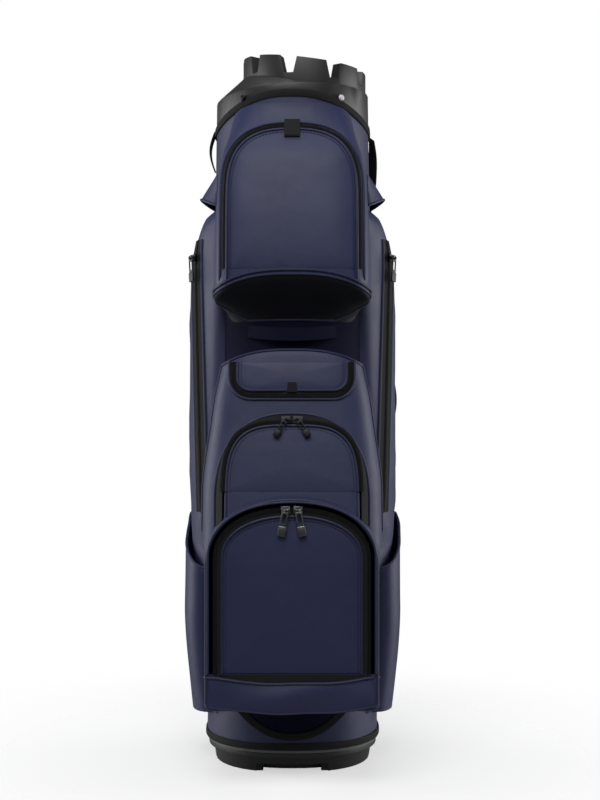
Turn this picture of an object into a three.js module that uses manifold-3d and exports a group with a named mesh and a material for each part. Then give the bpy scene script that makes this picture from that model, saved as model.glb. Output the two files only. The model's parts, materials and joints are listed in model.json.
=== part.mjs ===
// Golf cart bag: an oval club tube on a moulded base, with a notched organizer top, four front pockets,
// two zipped side pockets, two slip pockets, a shoulder strap and webbing handles.
// Millimetres, +Z up, the pocket side faces -Y, origin under the middle of the base.
import * as THREE from "three";
import { mergeVertices } from "three/addons/utils/BufferGeometryUtils.js";
import Module from "manifold-3d";

const wasm = await Module();
wasm.setup();

// ---------- driving dimensions ----------
const GAP = 0.3; // between pieces that rest on each other
const CLEAR = 0.8; // round a piece that turns
const FABRIC = 2.5; // coated fabric with its foam backing
const SKIN = 1.6; // outer skin of the club tube
const TUBE_WALL = 1.8;
const OVALNESS = 2.3; // 2 is an ellipse, more is squarer
const ROUND_STEPS = 48;
const SLIVER = 0.06;

const body = { bottomZ: 38, topZ: 874, sideDip: 36, widthBottom: 229, widthTop: 204, depthBottom: 254, depthTop: 238 };
const base = { footHeight: 20, flangeTop: 26, spigotTop: 46, footInset: 8, footDraft: 3.5, flangeInset: 2 };
const baseMore = { floorZ: 14, floorThick: 5, wall: 5, notchWidth: 92, notchHeight: 10, ringInset: 16, pad: 4, plug: 18 };
const binding = { thick: 1.8, height: 9.5, lap: 1, baseHeight: 13 };
const crown = { baseZ: 884, height: 39, offsetX: 16, offsetY: -2, width: 165, depth: 222, wall: 20 };
const crownTilt = { acrossX: -0.12, alongY: 0.05 };
const notch = { count: 10, firstDeg: -12, depth: 22, topWidth: 22, floorWidth: 12 };
const shoulder = { rise: 20, fall: 11, plate: 5 };
const grid = { bar: 5, topZ: 893, bottomZ: 838, rowPitch: 48, outerColumn: 21, innerColumn: 32, sheet: 1.6 };
const rod = { radius: 3, x: 66, y: 80 };
const upper = { topZ: 858, hingeZ: 640, bellyZ: 577, depth: 61, sideInset: 6, backInset: 34, squareness: 5 };
const upperLid = { springZ: 730, topZ: 820, inset: 11, squareness: 2.7, zip: 7 };
const apron = { topZ: 541, bottomZ: 300, topDepth: 24, lowDepth: 56, lowZ: 360, topInset: 17, lowInset: -4 };
const flap = { hingeZ: 525, bottomZ: 487, halfWidth: 70, corner: 20, zip: 8 };
const mid = { outerHalf: 93, outerTop: 458, outerSpring: 347, innerHalf: 83, innerTop: 447, innerSpring: 345, depth: 15 };
const midLid = { hingeZ: 364, outerSquareness: 2.2, innerSquareness: 3.8, pathRadius: 180 };
const ball = { half: 106, spring: 275, topZ: 357, bottomZ: 97, frontY: -213, flare: 7, backRise: 12 };
const ballLid = { half: 87, spring: 283, topZ: 337, hingeZ: 143, squareness: 2.2, zip: 13, pathRadius: 150 };
const lip = { topZ: 142, thick: 3, bottomZ: 97 };
const side = { topZ: 730, bottomZ: 68, bulge: 36, frontY: -82, backY: 84, fullZ: 560, lowZ: 330, lowBulge: 14 };
const sideZip = { topX: 129, topY: -36, topZ: 682, lowX: 119, lowY: -71, lowZ: 345, width: 26, thick: 1.4, facingDeg: 38 };
const slip = { bottomZ: 66, rimFrontZ: 272, rimBackZ: 325, bulge: 33, frontY: -60, backY: 70 };
const slider = { length: 11, width: 9, height: 3, bar: 0.9, post: 1.6, barHeight: 6.2 };
const pull = { width: 9, length: 33, thick: 1.8, eye: 1.5, knuckle: 2.7 };
const hood = { topZ: 776, bottomZ: 736, flare: 23, frontY: -42, backY: 33, thick: 2.4 };
const strap = { width: 36, endWidth: 18, thick: 2.6, padThick: 9, padWidth: 52, padFrom: 3, padTo: 7 };
const strapPath = [[108, 48, 838], [111, 60, 815], [107, 77, 785], [98, 93, 745], [91, 102, 705], [92, 106, 655],
  [99, 110, 600], [112, 111, 550], [128, 104, 510], [138, 95, 480], [137, 91, 455], [130, 92, 434]];
const ring = { radius: 12, wire: 1.8, upperZ: 846, lowZ: 424 };
const grip = { topZ: 836, lowZ: 786, width: 26, thick: 2.4, bow: 6, y: -8 };
const lift = { halfWidth: 55, width: 20, thick: 2.4, z: 560, bow: 12, tabWidth: 18, tabDrop: 16 };
const baseGrip = { halfWidth: 75, topZ: 89, lowZ: 48, width: 9, thick: 2 };
const tab = { width: 20, thick: 1.6, upperLowZ: 806, upperTopZ: 833, flapWidth: 11, flapHeight: 16 };
const stud = { radius: 4.5, height: 3, angleDeg: 34 };

// ---------- small geometry helpers ----------
const mix = (a, b, t) => a + (b - a) * t;
const clamp = (v, lo, hi) => Math.min(hi, Math.max(lo, v));
const rad = (deg) => (deg * Math.PI) / 180;
const signedPower = (v, e) => Math.sign(v) * Math.abs(v) ** e;

// A closed three.js geometry as a manifold solid, turned the right way out.
function solidOf(geometry) {
  const bare = geometry.index ? geometry.toNonIndexed() : geometry.clone();
  for (const name of Object.keys(bare.attributes)) if (name !== "position") bare.deleteAttribute(name);
  const merged = mergeVertices(bare, 1e-3);
  const triVerts = new Uint32Array(merged.index.array);
  const vertProperties = new Float32Array(merged.attributes.position.array);
  const made = new wasm.Manifold(new wasm.Mesh({ numProp: 3, vertProperties, triVerts }));
  if (made.volume() > 0) return made;
  for (let i = 0; i < triVerts.length; i += 3) [triVerts[i + 1], triVerts[i + 2]] = [triVerts[i + 2], triVerts[i + 1]];
  return new wasm.Manifold(new wasm.Mesh({ numProp: 3, vertProperties, triVerts }));
}

// A solid from loops of points, joined one to the next. Wrapped loops close on themselves as a ring does.
function loft(loops, wrapped = false) {
  const count = loops[0].length;
  const points = loops.flat();
  const triangles = [];
  const last = wrapped ? loops.length : loops.length - 1;
  for (let i = 0; i < last; i++)
    for (let j = 0; j < count; j++) {
      const next = ((i + 1) % loops.length) * count;
      const a = i * count + j, b = i * count + ((j + 1) % count);
      const c = next + ((j + 1) % count), d = next + j;
      triangles.push(a, b, c, a, c, d);
    }
  if (!wrapped)
    for (const [start, flip] of [[0, true], [(loops.length - 1) * count, false]]) {
      const centre = points.length;
      const loop = points.slice(start, start + count);
      points.push([0, 1, 2].map((k) => loop.reduce((sum, p) => sum + p[k], 0) / count));
      for (let j = 0; j < count; j++) {
        const a = start + j, b = start + ((j + 1) % count);
        triangles.push(...(flip ? [centre, b, a] : [centre, a, b]));
      }
    }
  const geometry = new THREE.BufferGeometry();
  geometry.setAttribute("position", new THREE.Float32BufferAttribute(points.flat(), 3));
  geometry.setIndex(triangles);
  return solidOf(geometry);
}

const largest = (solid) => solid.decompose().sort((a, b) => b.volume() - a.volume())[0];

function box(x0, x1, y0, y1, z0, z1) {
  const geometry = new THREE.BoxGeometry(x1 - x0, y1 - y0, z1 - z0);
  return solidOf(geometry.translate((x0 + x1) / 2, (y0 + y1) / 2, (z0 + z1) / 2));
}

// A point of an oval, theta from the front (-Y) towards +X.
function oval(theta, halfX, halfY, z, centreX = 0, centreY = 0) {
  const e = 2 / OVALNESS;
  return [centreX + halfX * signedPower(Math.sin(theta), e), centreY - halfY * signedPower(Math.cos(theta), e), z];
}
const around = (make, steps = ROUND_STEPS) => Array.from({ length: steps }, (_, i) => make((i / steps) * 2 * Math.PI));

// The club tube's half sizes at a height, grown or shrunk.
function bodyHalf(z, grow = 0) {
  const t = (z - body.bottomZ) / (body.topZ - body.bottomZ);
  const halfX = mix(body.widthBottom, body.widthTop, t) / 2 + grow;
  return { x: halfX, y: mix(body.depthBottom, body.depthTop, t) / 2 + grow };
}
const bodyPoint = (theta, z, grow = 0) => oval(theta, bodyHalf(z, grow).x, bodyHalf(z, grow).y, z);
const skinTop = (theta) => body.topZ - body.sideDip * Math.sin(theta) ** 2;

// The club tube as one solid, used to cut what lies against it.
const bodyBlock = (grow) => loft([0, body.topZ + 60].map((z) => around((a) => bodyPoint(a, z, grow))));

// An outline in X and Z, pushed along Y from y0 to y1.
function prism(outline, y0, y1) {
  const shape = new THREE.Shape(outline.map(([x, z]) => new THREE.Vector2(x, z)));
  const geometry = new THREE.ExtrudeGeometry(shape, { depth: y1 - y0, bevelEnabled: false });
  return solidOf(geometry.rotateX(Math.PI / 2).translate(0, y1, 0));
}

// An arch: straight sides to springZ, then a rounded top. A bottom above the spring cuts the rounded part.
function arch({ half, springZ, topZ, bottomZ, squareness, lowHalf = half, steps = 16 }) {
  const cut = bottomZ > springZ ? Math.asin(((bottomZ - springZ) / (topZ - springZ)) ** (squareness / 2)) : 0;
  const top = Array.from({ length: steps + 1 }, (_, i) => {
    const t = mix(cut, Math.PI - cut, i / steps), e = 2 / squareness;
    return [half * signedPower(Math.cos(t), e), springZ + (topZ - springZ) * signedPower(Math.sin(t), e)];
  });
  return cut > 0 ? top : [[lowHalf, bottomZ], ...top, [-lowHalf, bottomZ]];
}

// A band of rectangular section along a route, flat against the given outward normals.
function ribbon(route, normalAt, width, thick) {
  const v = route.map((p) => new THREE.Vector3(...p));
  return loft(
    v.map((p, i) => {
      const span = typeof width === "function" ? width(i) : width;
      const along = v[Math.min(i + 1, v.length - 1)].clone().sub(v[Math.max(i - 1, 0)]).normalize();
      const normal = new THREE.Vector3(...normalAt(route[i], i));
      normal.addScaledVector(along, -normal.dot(along)).normalize();
      const across = along.clone().cross(normal).multiplyScalar(span / 2);
      const out = normal.multiplyScalar(thick);
      const corner = (s, t) => p.clone().addScaledVector(across, s).addScaledVector(out, t).toArray();
      return [corner(-1, 0), corner(1, 0), corner(1, 1), corner(-1, 1)];
    }),
  );
}

// ---------- base, tube, skin ----------
const ovalBlock = (halfX, halfY, z0, z1, drop = 0) =>
  loft([around((a) => oval(a, halfX - drop, halfY - drop, z0)), around((a) => oval(a, halfX, halfY, z1))]);

function baseCup() {
  const { x, y } = bodyHalf(body.bottomZ);
  const footX = x - base.footInset, footY = y - base.footInset;
  const foot = ovalBlock(footX, footY, 0, base.footHeight, base.footDraft);
  const flange = ovalBlock(x - base.flangeInset, y - base.flangeInset, base.footHeight, base.flangeTop);
  const spigotInset = SKIN + TUBE_WALL + 3 * GAP;
  const spigot = ovalBlock(x - spigotInset, y - spigotInset, base.flangeTop, base.spigotTop);
  const floorTop = baseMore.floorZ + baseMore.floorThick;
  const inside = ovalBlock(x - spigotInset - baseMore.wall, y - spigotInset - baseMore.wall, floorTop, base.spigotTop + 1);
  const wallDrop = base.footDraft + baseMore.wall;
  const under = ovalBlock(footX - wallDrop, footY - wallDrop, -1, baseMore.floorZ);
  const ringX = footX - baseMore.ringInset, ringY = footY - baseMore.ringInset;
  const ringIn = baseMore.wall;
  const innerRing = ovalBlock(ringX, ringY, 2, baseMore.floorZ + 1).subtract(
    ovalBlock(ringX - ringIn, ringY - ringIn, 1, baseMore.floorZ + 2));
  const plug = solidOf(new THREE.CylinderGeometry(baseMore.plug, baseMore.plug, baseMore.floorZ + 1, 24)
    .rotateX(Math.PI / 2).translate(0, 0, (baseMore.floorZ + 1) / 2));
  const reach = y + 20;
  const cut = (s) => box(-baseMore.notchWidth / 2, baseMore.notchWidth / 2, s > 0 ? ringY + 2 : -reach,
    s > 0 ? reach : -ringY - 2, -1, baseMore.notchHeight);
  return foot.add(flange).add(spigot).subtract(inside).subtract(under).add(innerRing)
    .add(plug).subtract(cut(1)).subtract(cut(-1));
}

function basePad() {
  const { x, y } = bodyHalf(body.bottomZ);
  const inset = SKIN + TUBE_WALL + 4 * GAP + baseMore.wall;
  const z = baseMore.floorZ + baseMore.floorThick + GAP;
  return ovalBlock(x - inset, y - inset, z, z + baseMore.pad);
}
const padTop = baseMore.floorZ + baseMore.floorThick + GAP + baseMore.pad;

// A ring round the body between two heights, each given by angle.
const bodyRing = (lowAt, highAt, outer, inner) =>
  loft(around((a) => {
    const low = lowAt(a), high = highAt(a);
    return [bodyPoint(a, low, outer), bodyPoint(a, high, outer), bodyPoint(a, high, inner), bodyPoint(a, low, inner)];
  }), true);

const bodySkin = () => bodyRing(() => body.bottomZ, skinTop, 0, -SKIN);
const innerTube = () => bodyRing(() => base.flangeTop + GAP, skinTop, -SKIN - GAP, -SKIN - GAP - TUBE_WALL);
const collarBinding = () =>
  bodyRing((a) => skinTop(a) - binding.lap, (a) => skinTop(a) - binding.lap + binding.height, GAP + binding.thick, GAP);
const baseBinding = () => {
  const low = base.flangeTop + GAP, high = low + binding.baseHeight;
  return bodyRing(() => low, () => high, GAP + binding.thick, GAP);
};

// ---------- organizer top ----------
const crownRing = (a, inset, z) =>
  oval(a, crown.width / 2 - inset, crown.depth / 2 - inset, z, crown.offsetX, crown.offsetY);
const crownTop = ([x, y]) =>
  crown.baseZ + crown.height + crownTilt.acrossX * (x - crown.offsetX) + crownTilt.alongY * y;

function organizerCrown() {
  const wallRing = loft(around((a) => {
    const outer = crownRing(a, 0, 0), inner = crownRing(a, crown.wall, 0);
    const low = crown.baseZ + GAP;
    return [[outer[0], outer[1], low], [outer[0], outer[1], crownTop(outer)],
      [inner[0], inner[1], crownTop(inner)], [inner[0], inner[1], low]];
  }), true);
  const half = notch.topWidth / 2, floor = notch.floorWidth / 2, reach = crown.wall * 2;
  const widen = (half - floor) / notch.depth;
  let cut = wallRing;
  for (let k = 0; k < notch.count; k++) {
    const a = rad(notch.firstDeg) + (k / notch.count) * 2 * Math.PI;
    const p = crownRing(a, crown.wall / 2, 0), q = crownRing(a + 0.01, crown.wall / 2, 0);
    const top = crownTop(p);
    const over = half + widen * 10;
    const tooth = prism([[-floor, -notch.depth], [floor, -notch.depth], [over, 10], [-over, 10]], -reach, reach);
    cut = cut.subtract(tooth.rotate([0, 0, (Math.atan2(q[1] - p[1], q[0] - p[0]) * 180) / Math.PI])
      .translate([p[0], p[1], top]));
  }
  return cut;
}

// The collar: a moulded ring on the tube's edge that rises to a shoulder beside the crown.
function topCollar() {
  return loft(around((a) => {
    const low = skinTop(a) + GAP, left = Math.max(0, -Math.sin(a));
    const outerTop = crown.baseZ - shoulder.fall * left;
    const shoulderZ = crown.baseZ + 1 + shoulder.rise * left;
    const seat = crownRing(a, -1.2, crown.baseZ), hole = crownRing(a, crown.wall, crown.baseZ);
    const tubeInside = bodyPoint(a, low, -SKIN - TUBE_WALL - 3 * GAP);
    return [bodyPoint(a, low), bodyPoint(a, outerTop), [seat[0], seat[1], shoulderZ], seat, hole,
      [hole[0], hole[1], crown.baseZ - shoulder.plate], tubeInside];
  }), true);
}

// The organizer's divider bars, one comb for each row, clear of the crown's inner wall.
const wellHole = () =>
  loft([grid.bottomZ, grid.topZ].map((z) => around((a) => crownRing(a, crown.wall + GAP, z))));
const rowY = (row) => crown.offsetY + row * grid.rowPitch;

function dividerBar(row) {
  const half = grid.bar / 2, span = crown.width;
  const slab = (x0, x1, y0, y1) => box(x0, x1, y0, y1, grid.bottomZ, grid.topZ);
  const y = rowY(row);
  let comb = slab(crown.offsetX - span, crown.offsetX + span, y - half, y + half);
  const columns = (offsets, y0, y1) => {
    for (const dx of offsets)
      comb = comb.add(slab(crown.offsetX + dx - half, crown.offsetX + dx + half, y0, y1));
  };
  const outer = [-grid.outerColumn, grid.outerColumn], inner = [-grid.innerColumn, 0, grid.innerColumn];
  if (row === -1) columns(outer, -crown.depth, y);
  else columns(inner, rowY(row - 1) + half + GAP, y);
  if (row === 1) columns(outer, y, crown.depth);
  return largest(comb.intersect(wellHole()));
}

function dividerSheet(row) {
  const y = rowY(row), inside = bodyBlock(-SKIN - TUBE_WALL - 2 * GAP);
  const slab = box(-body.widthBottom, body.widthBottom, y - grid.sheet / 2, y + grid.sheet / 2,
    base.spigotTop + GAP, grid.bottomZ - GAP);
  return slab.intersect(inside);
}

function stayRod(sign) {
  const p = [sign * rod.x, rod.y];
  const angle = Math.atan2(p[0] / bodyHalf(body.topZ).x, -p[1] / bodyHalf(body.topZ).y);
  const low = padTop + GAP, high = skinTop(angle) - 4;
  const geometry = new THREE.CylinderGeometry(rod.radius, rod.radius, high - low, 12).rotateX(Math.PI / 2);
  return solidOf(geometry.translate(p[0], p[1], (low + high) / 2));
}

// ---------- pockets that stand off the front ----------
// A pocket's level: half a squared oval in plan, from the front at y to the back plane.
function pocketLevel(z, half, frontY, backY, squareness, steps = 14) {
  const e = 2 / squareness;
  return Array.from({ length: steps + 1 }, (_, i) => {
    const t = -Math.PI / 2 + (i / steps) * Math.PI;
    return [half * signedPower(Math.sin(t), e), backY - (backY - frontY) * Math.abs(Math.cos(t)) ** e, z];
  });
}

// Heights, depth off the body and inset from its sides, from the belly up to the top of the upper pocket.
const upperProfile = [
  [upper.bellyZ, 0, 26], [upper.bellyZ + 20, 22, 12], [upper.hingeZ - 26, 46, 3], [upper.hingeZ - 6, upper.depth, 0],
  [upper.hingeZ + 60, 56, 0.5], [upper.hingeZ + 110, 47, 3], [upper.topZ - 58, 33, 9], [upper.topZ - 28, 15, 17],
  [upper.topZ, 0, 26],
];
// The upper pocket's front at a height, on the middle line.
function upperFrontY(z) {
  const i = clamp(upperProfile.findIndex(([at]) => at >= z), 1, upperProfile.length - 1);
  const [[z0, d0], [z1, d1]] = [upperProfile[i - 1], upperProfile[i]];
  const t = (z - z0) / (z1 - z0);
  return -mix(bodyHalf(z0).y + d0, bodyHalf(z1).y + d1, t);
}
function upperBlock(inset) {
  return loft(upperProfile.map(([z, depth, narrow], i, all) => {
    const end = i === 0 ? 1 : i === all.length - 1 ? -1 : 0;
    const half = bodyHalf(z).x - upper.sideInset - narrow - inset;
    const front = -bodyHalf(z).y - depth + inset;
    return pocketLevel(z + end * inset, half, front, -bodyHalf(z).y + upper.backInset, upper.squareness);
  }));
}
const upperHalf = (z) => bodyHalf(z).x - upper.sideInset;
const upperOutline = (grow, past) => arch({
  half: upperHalf(upper.hingeZ) - upperLid.inset + grow, springZ: upperLid.springZ, topZ: upperLid.topZ + grow,
  bottomZ: upper.hingeZ - past, squareness: upperLid.squareness,
});

// Splits a hollow pocket into its shell, the zip band round the opening and the lid.
// The outline is given how far it grows, and how far it reaches past the hinge line.
function splitPocket(hollow, outlineAt, zip, reach) {
  const [y0, y1] = reach;
  const through = (grow, past) => prism(outlineAt(grow, past), y0, y1);
  return {
    lid: largest(hollow.intersect(through(0, -GAP))),
    zip: largest(hollow.intersect(through(zip, 0)).subtract(through(GAP, 1))),
    shell: largest(hollow.subtract(through(zip + GAP, GAP))),
  };
}

function upperPocket() {
  const hollow = upperBlock(0).subtract(upperBlock(FABRIC)).subtract(bodyBlock(GAP));
  return splitPocket(hollow, upperOutline, upperLid.zip, [-400, -bodyHalf(upper.hingeZ).y - 2]);
}

// The apron: the front panel that carries the flap pocket and the mid pocket.
const apronT = (z) => clamp((apron.topZ - z) / (apron.topZ - apron.lowZ), 0, 1);
const apronFront = (z) => -bodyHalf(z).y - mix(apron.topDepth, apron.lowDepth, apronT(z));
const apronHalf = (z) => bodyHalf(z).x - mix(apron.topInset, apron.lowInset, apronT(z) ** 0.8);
function apronBlock(inset) {
  const levels = [apron.bottomZ, apron.lowZ, 420, 480, apron.topZ - 20, apron.topZ];
  return loft(levels.map((z, i) => {
    const end = i === 0 ? 1 : i === levels.length - 1 ? -1 : 0;
    const back = -bodyHalf(z).y + upper.backInset;
    return pocketLevel(z + end * inset, apronHalf(z) - inset, apronFront(z) + inset, back, upper.squareness);
  }));
}
function flapOutline(grow, past, steps = 6) {
  const half = flap.halfWidth + grow, low = flap.bottomZ - grow, r = flap.corner + grow, top = flap.hingeZ + past;
  const turn = Array.from({ length: steps + 1 }, (_, i) => (i / steps) * (Math.PI / 2));
  const right = turn.map((t) => [half - r + r * Math.cos(t), low + r - r * Math.sin(t)]);
  const left = turn.map((t) => [r - half - r * Math.sin(t), low + r - r * Math.cos(t)]);
  return [[half, top], ...right, ...left, [-half, top]];
}

// The mid pocket's gusset: an arch that narrows from the apron to the lid.
const midFrontY = (z) => apronFront(z) - mid.depth;
const midOuter = (grow) => arch({ half: mid.outerHalf + grow, springZ: mid.outerSpring, topZ: mid.outerTop + grow,
  bottomZ: midLid.hingeZ, squareness: midLid.outerSquareness });
const midInner = (grow) => arch({ half: mid.innerHalf + grow, springZ: mid.innerSpring + 2, topZ: mid.innerTop + grow,
  bottomZ: midLid.hingeZ, squareness: midLid.innerSquareness });
const atDepth = (outline, yAt) => outline.map(([x, z]) => [x, yAt(z), z]);
function midBlock(inset, frontMore, backMore) {
  return loft([
    atDepth(midInner(-inset), (z) => midFrontY(z) + frontMore),
    atDepth(midOuter(-inset), (z) => apronFront(z) + backMore),
  ]);
}

function frontApron() {
  const cut = ballBlock(-GAP);
  const whole = apronBlock(0).subtract(apronBlock(FABRIC)).subtract(bodyBlock(GAP)).subtract(cut);
  const shelfZ = mix(mid.outerTop, flap.bottomZ - flap.zip, 0.5);
  const shelf = box(-200, 200, -300, 0, shelfZ - 1, shelfZ + 1).intersect(apronBlock(0.5)).subtract(bodyBlock(GAP));
  const reach = [-400, -bodyHalf(apron.topZ).y - 2];
  const open = prism(midOuter(-8), ...reach);
  const parts = splitPocket(whole.add(shelf), flapOutline, flap.zip, reach);
  return { lid: parts.lid, zip: parts.zip, shell: largest(parts.shell.subtract(open)) };
}
function midPocket() {
  const lidBack = FABRIC + GAP;
  const tube = midBlock(0, lidBack, 10).subtract(midBlock(FABRIC, lidBack - 5, 20)).subtract(apronBlock(-GAP));
  const lid = loft([atDepth(midInner(0), midFrontY), atDepth(midInner(0), (z) => midFrontY(z) + FABRIC)]);
  return { gusset: largest(tube.subtract(ballBlock(-GAP))), lid: lid.subtract(ballBlock(-CLEAR)) };
}

// The ball pocket: an arch-fronted box that widens towards the bag.
const ballOutline = (y, inset) => {
  const t = (y - ball.frontY) / (-80 - ball.frontY);
  return arch({ half: ball.half + ball.flare * t - inset, springZ: ball.spring, topZ: ball.topZ + ball.backRise * t - inset,
    bottomZ: ball.bottomZ + inset, squareness: 2.15 });
};
function ballBlock(inset) {
  const depths = [ball.frontY + inset, -80];
  return loft(depths.map((y) => atDepth(ballOutline(y, inset), () => y)));
}
const ballLidOutline = (grow, past) => arch({ half: ballLid.half + grow, springZ: ballLid.spring,
  topZ: ballLid.topZ + grow, bottomZ: ballLid.hingeZ - past, squareness: ballLid.squareness });
function ballPocket() {
  const hollow = ballBlock(0).subtract(ballBlock(FABRIC)).subtract(bodyBlock(GAP));
  return splitPocket(hollow, ballLidOutline, ballLid.zip, [ball.frontY - 5, ball.frontY + 8]);
}
function ballLip() {
  const steps = 8;
  return loft(Array.from({ length: steps + 1 }, (_, i) => {
    const x = mix(-ball.half, ball.half, i / steps);
    const sag = 4 * Math.cos((x / ball.half) * (Math.PI / 2));
    const y1 = ball.frontY - GAP, y0 = y1 - lip.thick - sag;
    return [[x, y1, lip.bottomZ], [x, y0, lip.bottomZ + 2], [x, y0, lip.topZ - 2], [x, y1, lip.topZ]];
  }));
}

// ---------- side pockets, slip pockets, hoods ----------
const sideBulge = (z) => {
  if (z >= side.topZ) return 0;
  if (z > side.fullZ) return side.bulge * Math.sqrt(1 - ((z - side.fullZ) / (side.topZ - side.fullZ)) ** 2);
  if (z > side.lowZ) return side.bulge;
  return mix(side.lowBulge - 8, side.lowBulge, clamp((z - side.bottomZ) / (side.lowZ - side.bottomZ), 0, 1));
};
const zipT = (z) => (sideZip.topZ - z) / (sideZip.topZ - sideZip.lowZ);
const zipLine = (z) => [mix(sideZip.topX, sideZip.lowX, zipT(z)), mix(sideZip.topY, sideZip.lowY, zipT(z)), z];
const zipOut = [Math.cos(rad(sideZip.facingDeg)), -Math.sin(rad(sideZip.facingDeg)), 0];
const zipAcross = [-zipOut[1], zipOut[0], 0];

// One level of a side pocket on the +X side, from its front seam round the outside to its back seam.
function sideLevel(z, inset) {
  const outX = bodyHalf(z).x + sideBulge(z) - inset;
  const zip = zipLine(clamp(z, sideZip.lowZ - 60, sideZip.topZ + 20));
  const edge = (s) => [zip[0] + zipAcross[0] * s - zipOut[0] * inset, zip[1] + zipAcross[1] * s - zipOut[1] * inset];
  const half = sideZip.width / 2 + 1;
  const full = z > side.lowZ - 1 && z < side.topZ - 40;
  const front = full ? [edge(-half), edge(half)] : [[outX - 16, side.frontY + 24], [outX - 3, side.frontY + 50]];
  const limit = ([x, y]) => [Math.min(x, outX), y];
  return [[60, side.frontY + 8], [bodyHalf(z).x - 12, side.frontY + inset], ...front.map(limit),
    [outX, 18], [outX - 3, side.backY - 24], [outX - 16, side.backY - inset], [60, side.backY - inset]]
    .map(([x, y]) => [x, y, z]);
}
function sidePocket() {
  const levels = [200, side.lowZ - 2, side.lowZ + 14, 400, 470, side.fullZ, 620, 670, 700];
  const whole = loft([side.bottomZ, ...levels, side.topZ - 4].map((z) => sideLevel(z, 0)));
  const inside = loft([side.bottomZ + FABRIC, ...levels, side.topZ - 12].map((z) => sideLevel(z, FABRIC)));
  const wall = whole.subtract(inside).subtract(bodyBlock(GAP));
  return largest(wall.subtract(upperBlock(-GAP)).subtract(apronBlock(-GAP)).subtract(ballBlock(-GAP)));
}
function sideZipBand() {
  const out = zipOut.map((c) => c * GAP);
  const end = (z) => zipLine(z).map((c, k) => c + out[k]);
  return ribbon([end(sideZip.lowZ), end(sideZip.topZ)], () => zipOut, sideZip.width, sideZip.thick);
}
const rimZ = (y) => mix(slip.rimFrontZ, slip.rimBackZ, (y - slip.frontY) / (slip.backY - slip.frontY));

// The slip pocket: an outer wall that stands off the side pocket, open at its top, closed at its foot and ends.
function slipPocket() {
  const bow = (z) => slip.bulge - 14 * clamp((200 - z) / (200 - slip.bottomZ), 0, 1) ** 1.5;
  const plan = (z, inset) => {
    const outX = bodyHalf(z).x + bow(z) - inset;
    return [[bodyHalf(z).x - 14, slip.frontY + inset], [outX - 12, slip.frontY + inset], [outX, slip.frontY + 26],
      [outX, slip.backY - 26], [outX - 12, slip.backY - inset], [bodyHalf(z).x - 14, slip.backY - inset]]
      .map(([x, y]) => [x, y, z]);
  };
  const levels = [slip.bottomZ, 120, 200, slip.rimBackZ + 20];
  const outer = loft(levels.map((z) => plan(z, 0)));
  const inner = loft([slip.bottomZ + FABRIC, 120, 200, slip.rimBackZ + 30].map((z) => plan(z, FABRIC)));
  const inside = loft([side.bottomZ, 200, side.lowZ - 2, side.lowZ + 40].map((z) => sideLevel(z, -GAP)));
  const far = 400;
  const above = loft([slip.frontY - 60, slip.backY + 60].map((y) =>
    [[0, y, rimZ(y)], [far, y, rimZ(y)], [far, y, rimZ(y) + far], [0, y, rimZ(y) + far]]));
  return largest(outer.subtract(inner).subtract(inside).subtract(bodyBlock(GAP)).subtract(above));
}

// A hood of fabric, sewn on along its top and flaring outwards at its open foot.
function sideHood() {
  const steps = 10;
  return loft(Array.from({ length: steps + 1 }, (_, i) => {
    const y = mix(hood.frontY, hood.backY, i / steps);
    const out = hood.flare * Math.sin((i / steps) * Math.PI) ** 0.7;
    const skinX = (z) => {
      const h = bodyHalf(z);
      return h.x * (1 - Math.abs(y / h.y) ** OVALNESS) ** (1 / OVALNESS) + GAP;
    };
    const top = [skinX(hood.topZ), y, hood.topZ], low = [skinX(hood.bottomZ) + out, y, hood.bottomZ];
    return [top, low, [low[0] + hood.thick, y, hood.bottomZ + 1], [top[0] + hood.thick, y, hood.topZ + 2]];
  }));
}

// ---------- zip sliders and pulls ----------
// Both are drawn with X along the pull's hinge bar, Y up the panel and Z outwards, from the zip's surface.
function sliderSolid() {
  const { length, width, height, post, bar, barHeight } = slider;
  const barHalf = pull.knuckle + 1.2;
  const plate = box(-length / 2, length / 2, -width / 2, width / 2, 0, height);
  const postAt = (s) => box(s * barHalf - post / 2, s * barHalf + post / 2, -1.6, 1.6, height - 1, barHeight + bar);
  const rail = new THREE.CylinderGeometry(bar, bar, 2 * barHalf, 8).rotateZ(Math.PI / 2).translate(0, 0, barHeight);
  return plate.add(postAt(1)).add(postAt(-1)).add(solidOf(rail));
}
function pullSolid() {
  const { width, length, thick, eye, knuckle } = pull;
  const eyeShape = new THREE.Shape().absarc(0, 0, knuckle, 0, 2 * Math.PI);
  eyeShape.holes.push(new THREE.Path().absarc(0, 0, eye, 0, 2 * Math.PI));
  const eyeGeometry = new THREE.ExtrudeGeometry(eyeShape, { depth: 4.6, bevelEnabled: false, curveSegments: 10 });
  const knuckleSolid = solidOf(eyeGeometry.translate(0, 0, -2.3).rotateY(Math.PI / 2));
  const half = width / 2, neck = 2.3, top = 0.8 - knuckle;
  const plate = loft([-thick / 2, thick / 2].map((z) => [[-neck, top, z], [-neck, -5, z], [-half, -8, z],
    [-half, 3 - length, z], [3 - half, -length, z], [half - 3, -length, z], [half, 3 - length, z],
    [half, -8, z], [neck, -5, z], [neck, top, z]]));
  return knuckleSolid.add(plate);
}

// Places a solid drawn in that frame at a point, given its up and outward directions, raised along the latter.
function placed(solid, point, up, out, raise = 0) {
  const z = new THREE.Vector3(...out).normalize();
  const y = new THREE.Vector3(...up).addScaledVector(z, -new THREE.Vector3(...up).dot(z)).normalize();
  const origin = new THREE.Vector3(...point).addScaledVector(z, raise);
  return solid.transform(new THREE.Matrix4().makeBasis(y.clone().cross(z), y, z).setPosition(origin).elements);
}

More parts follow.
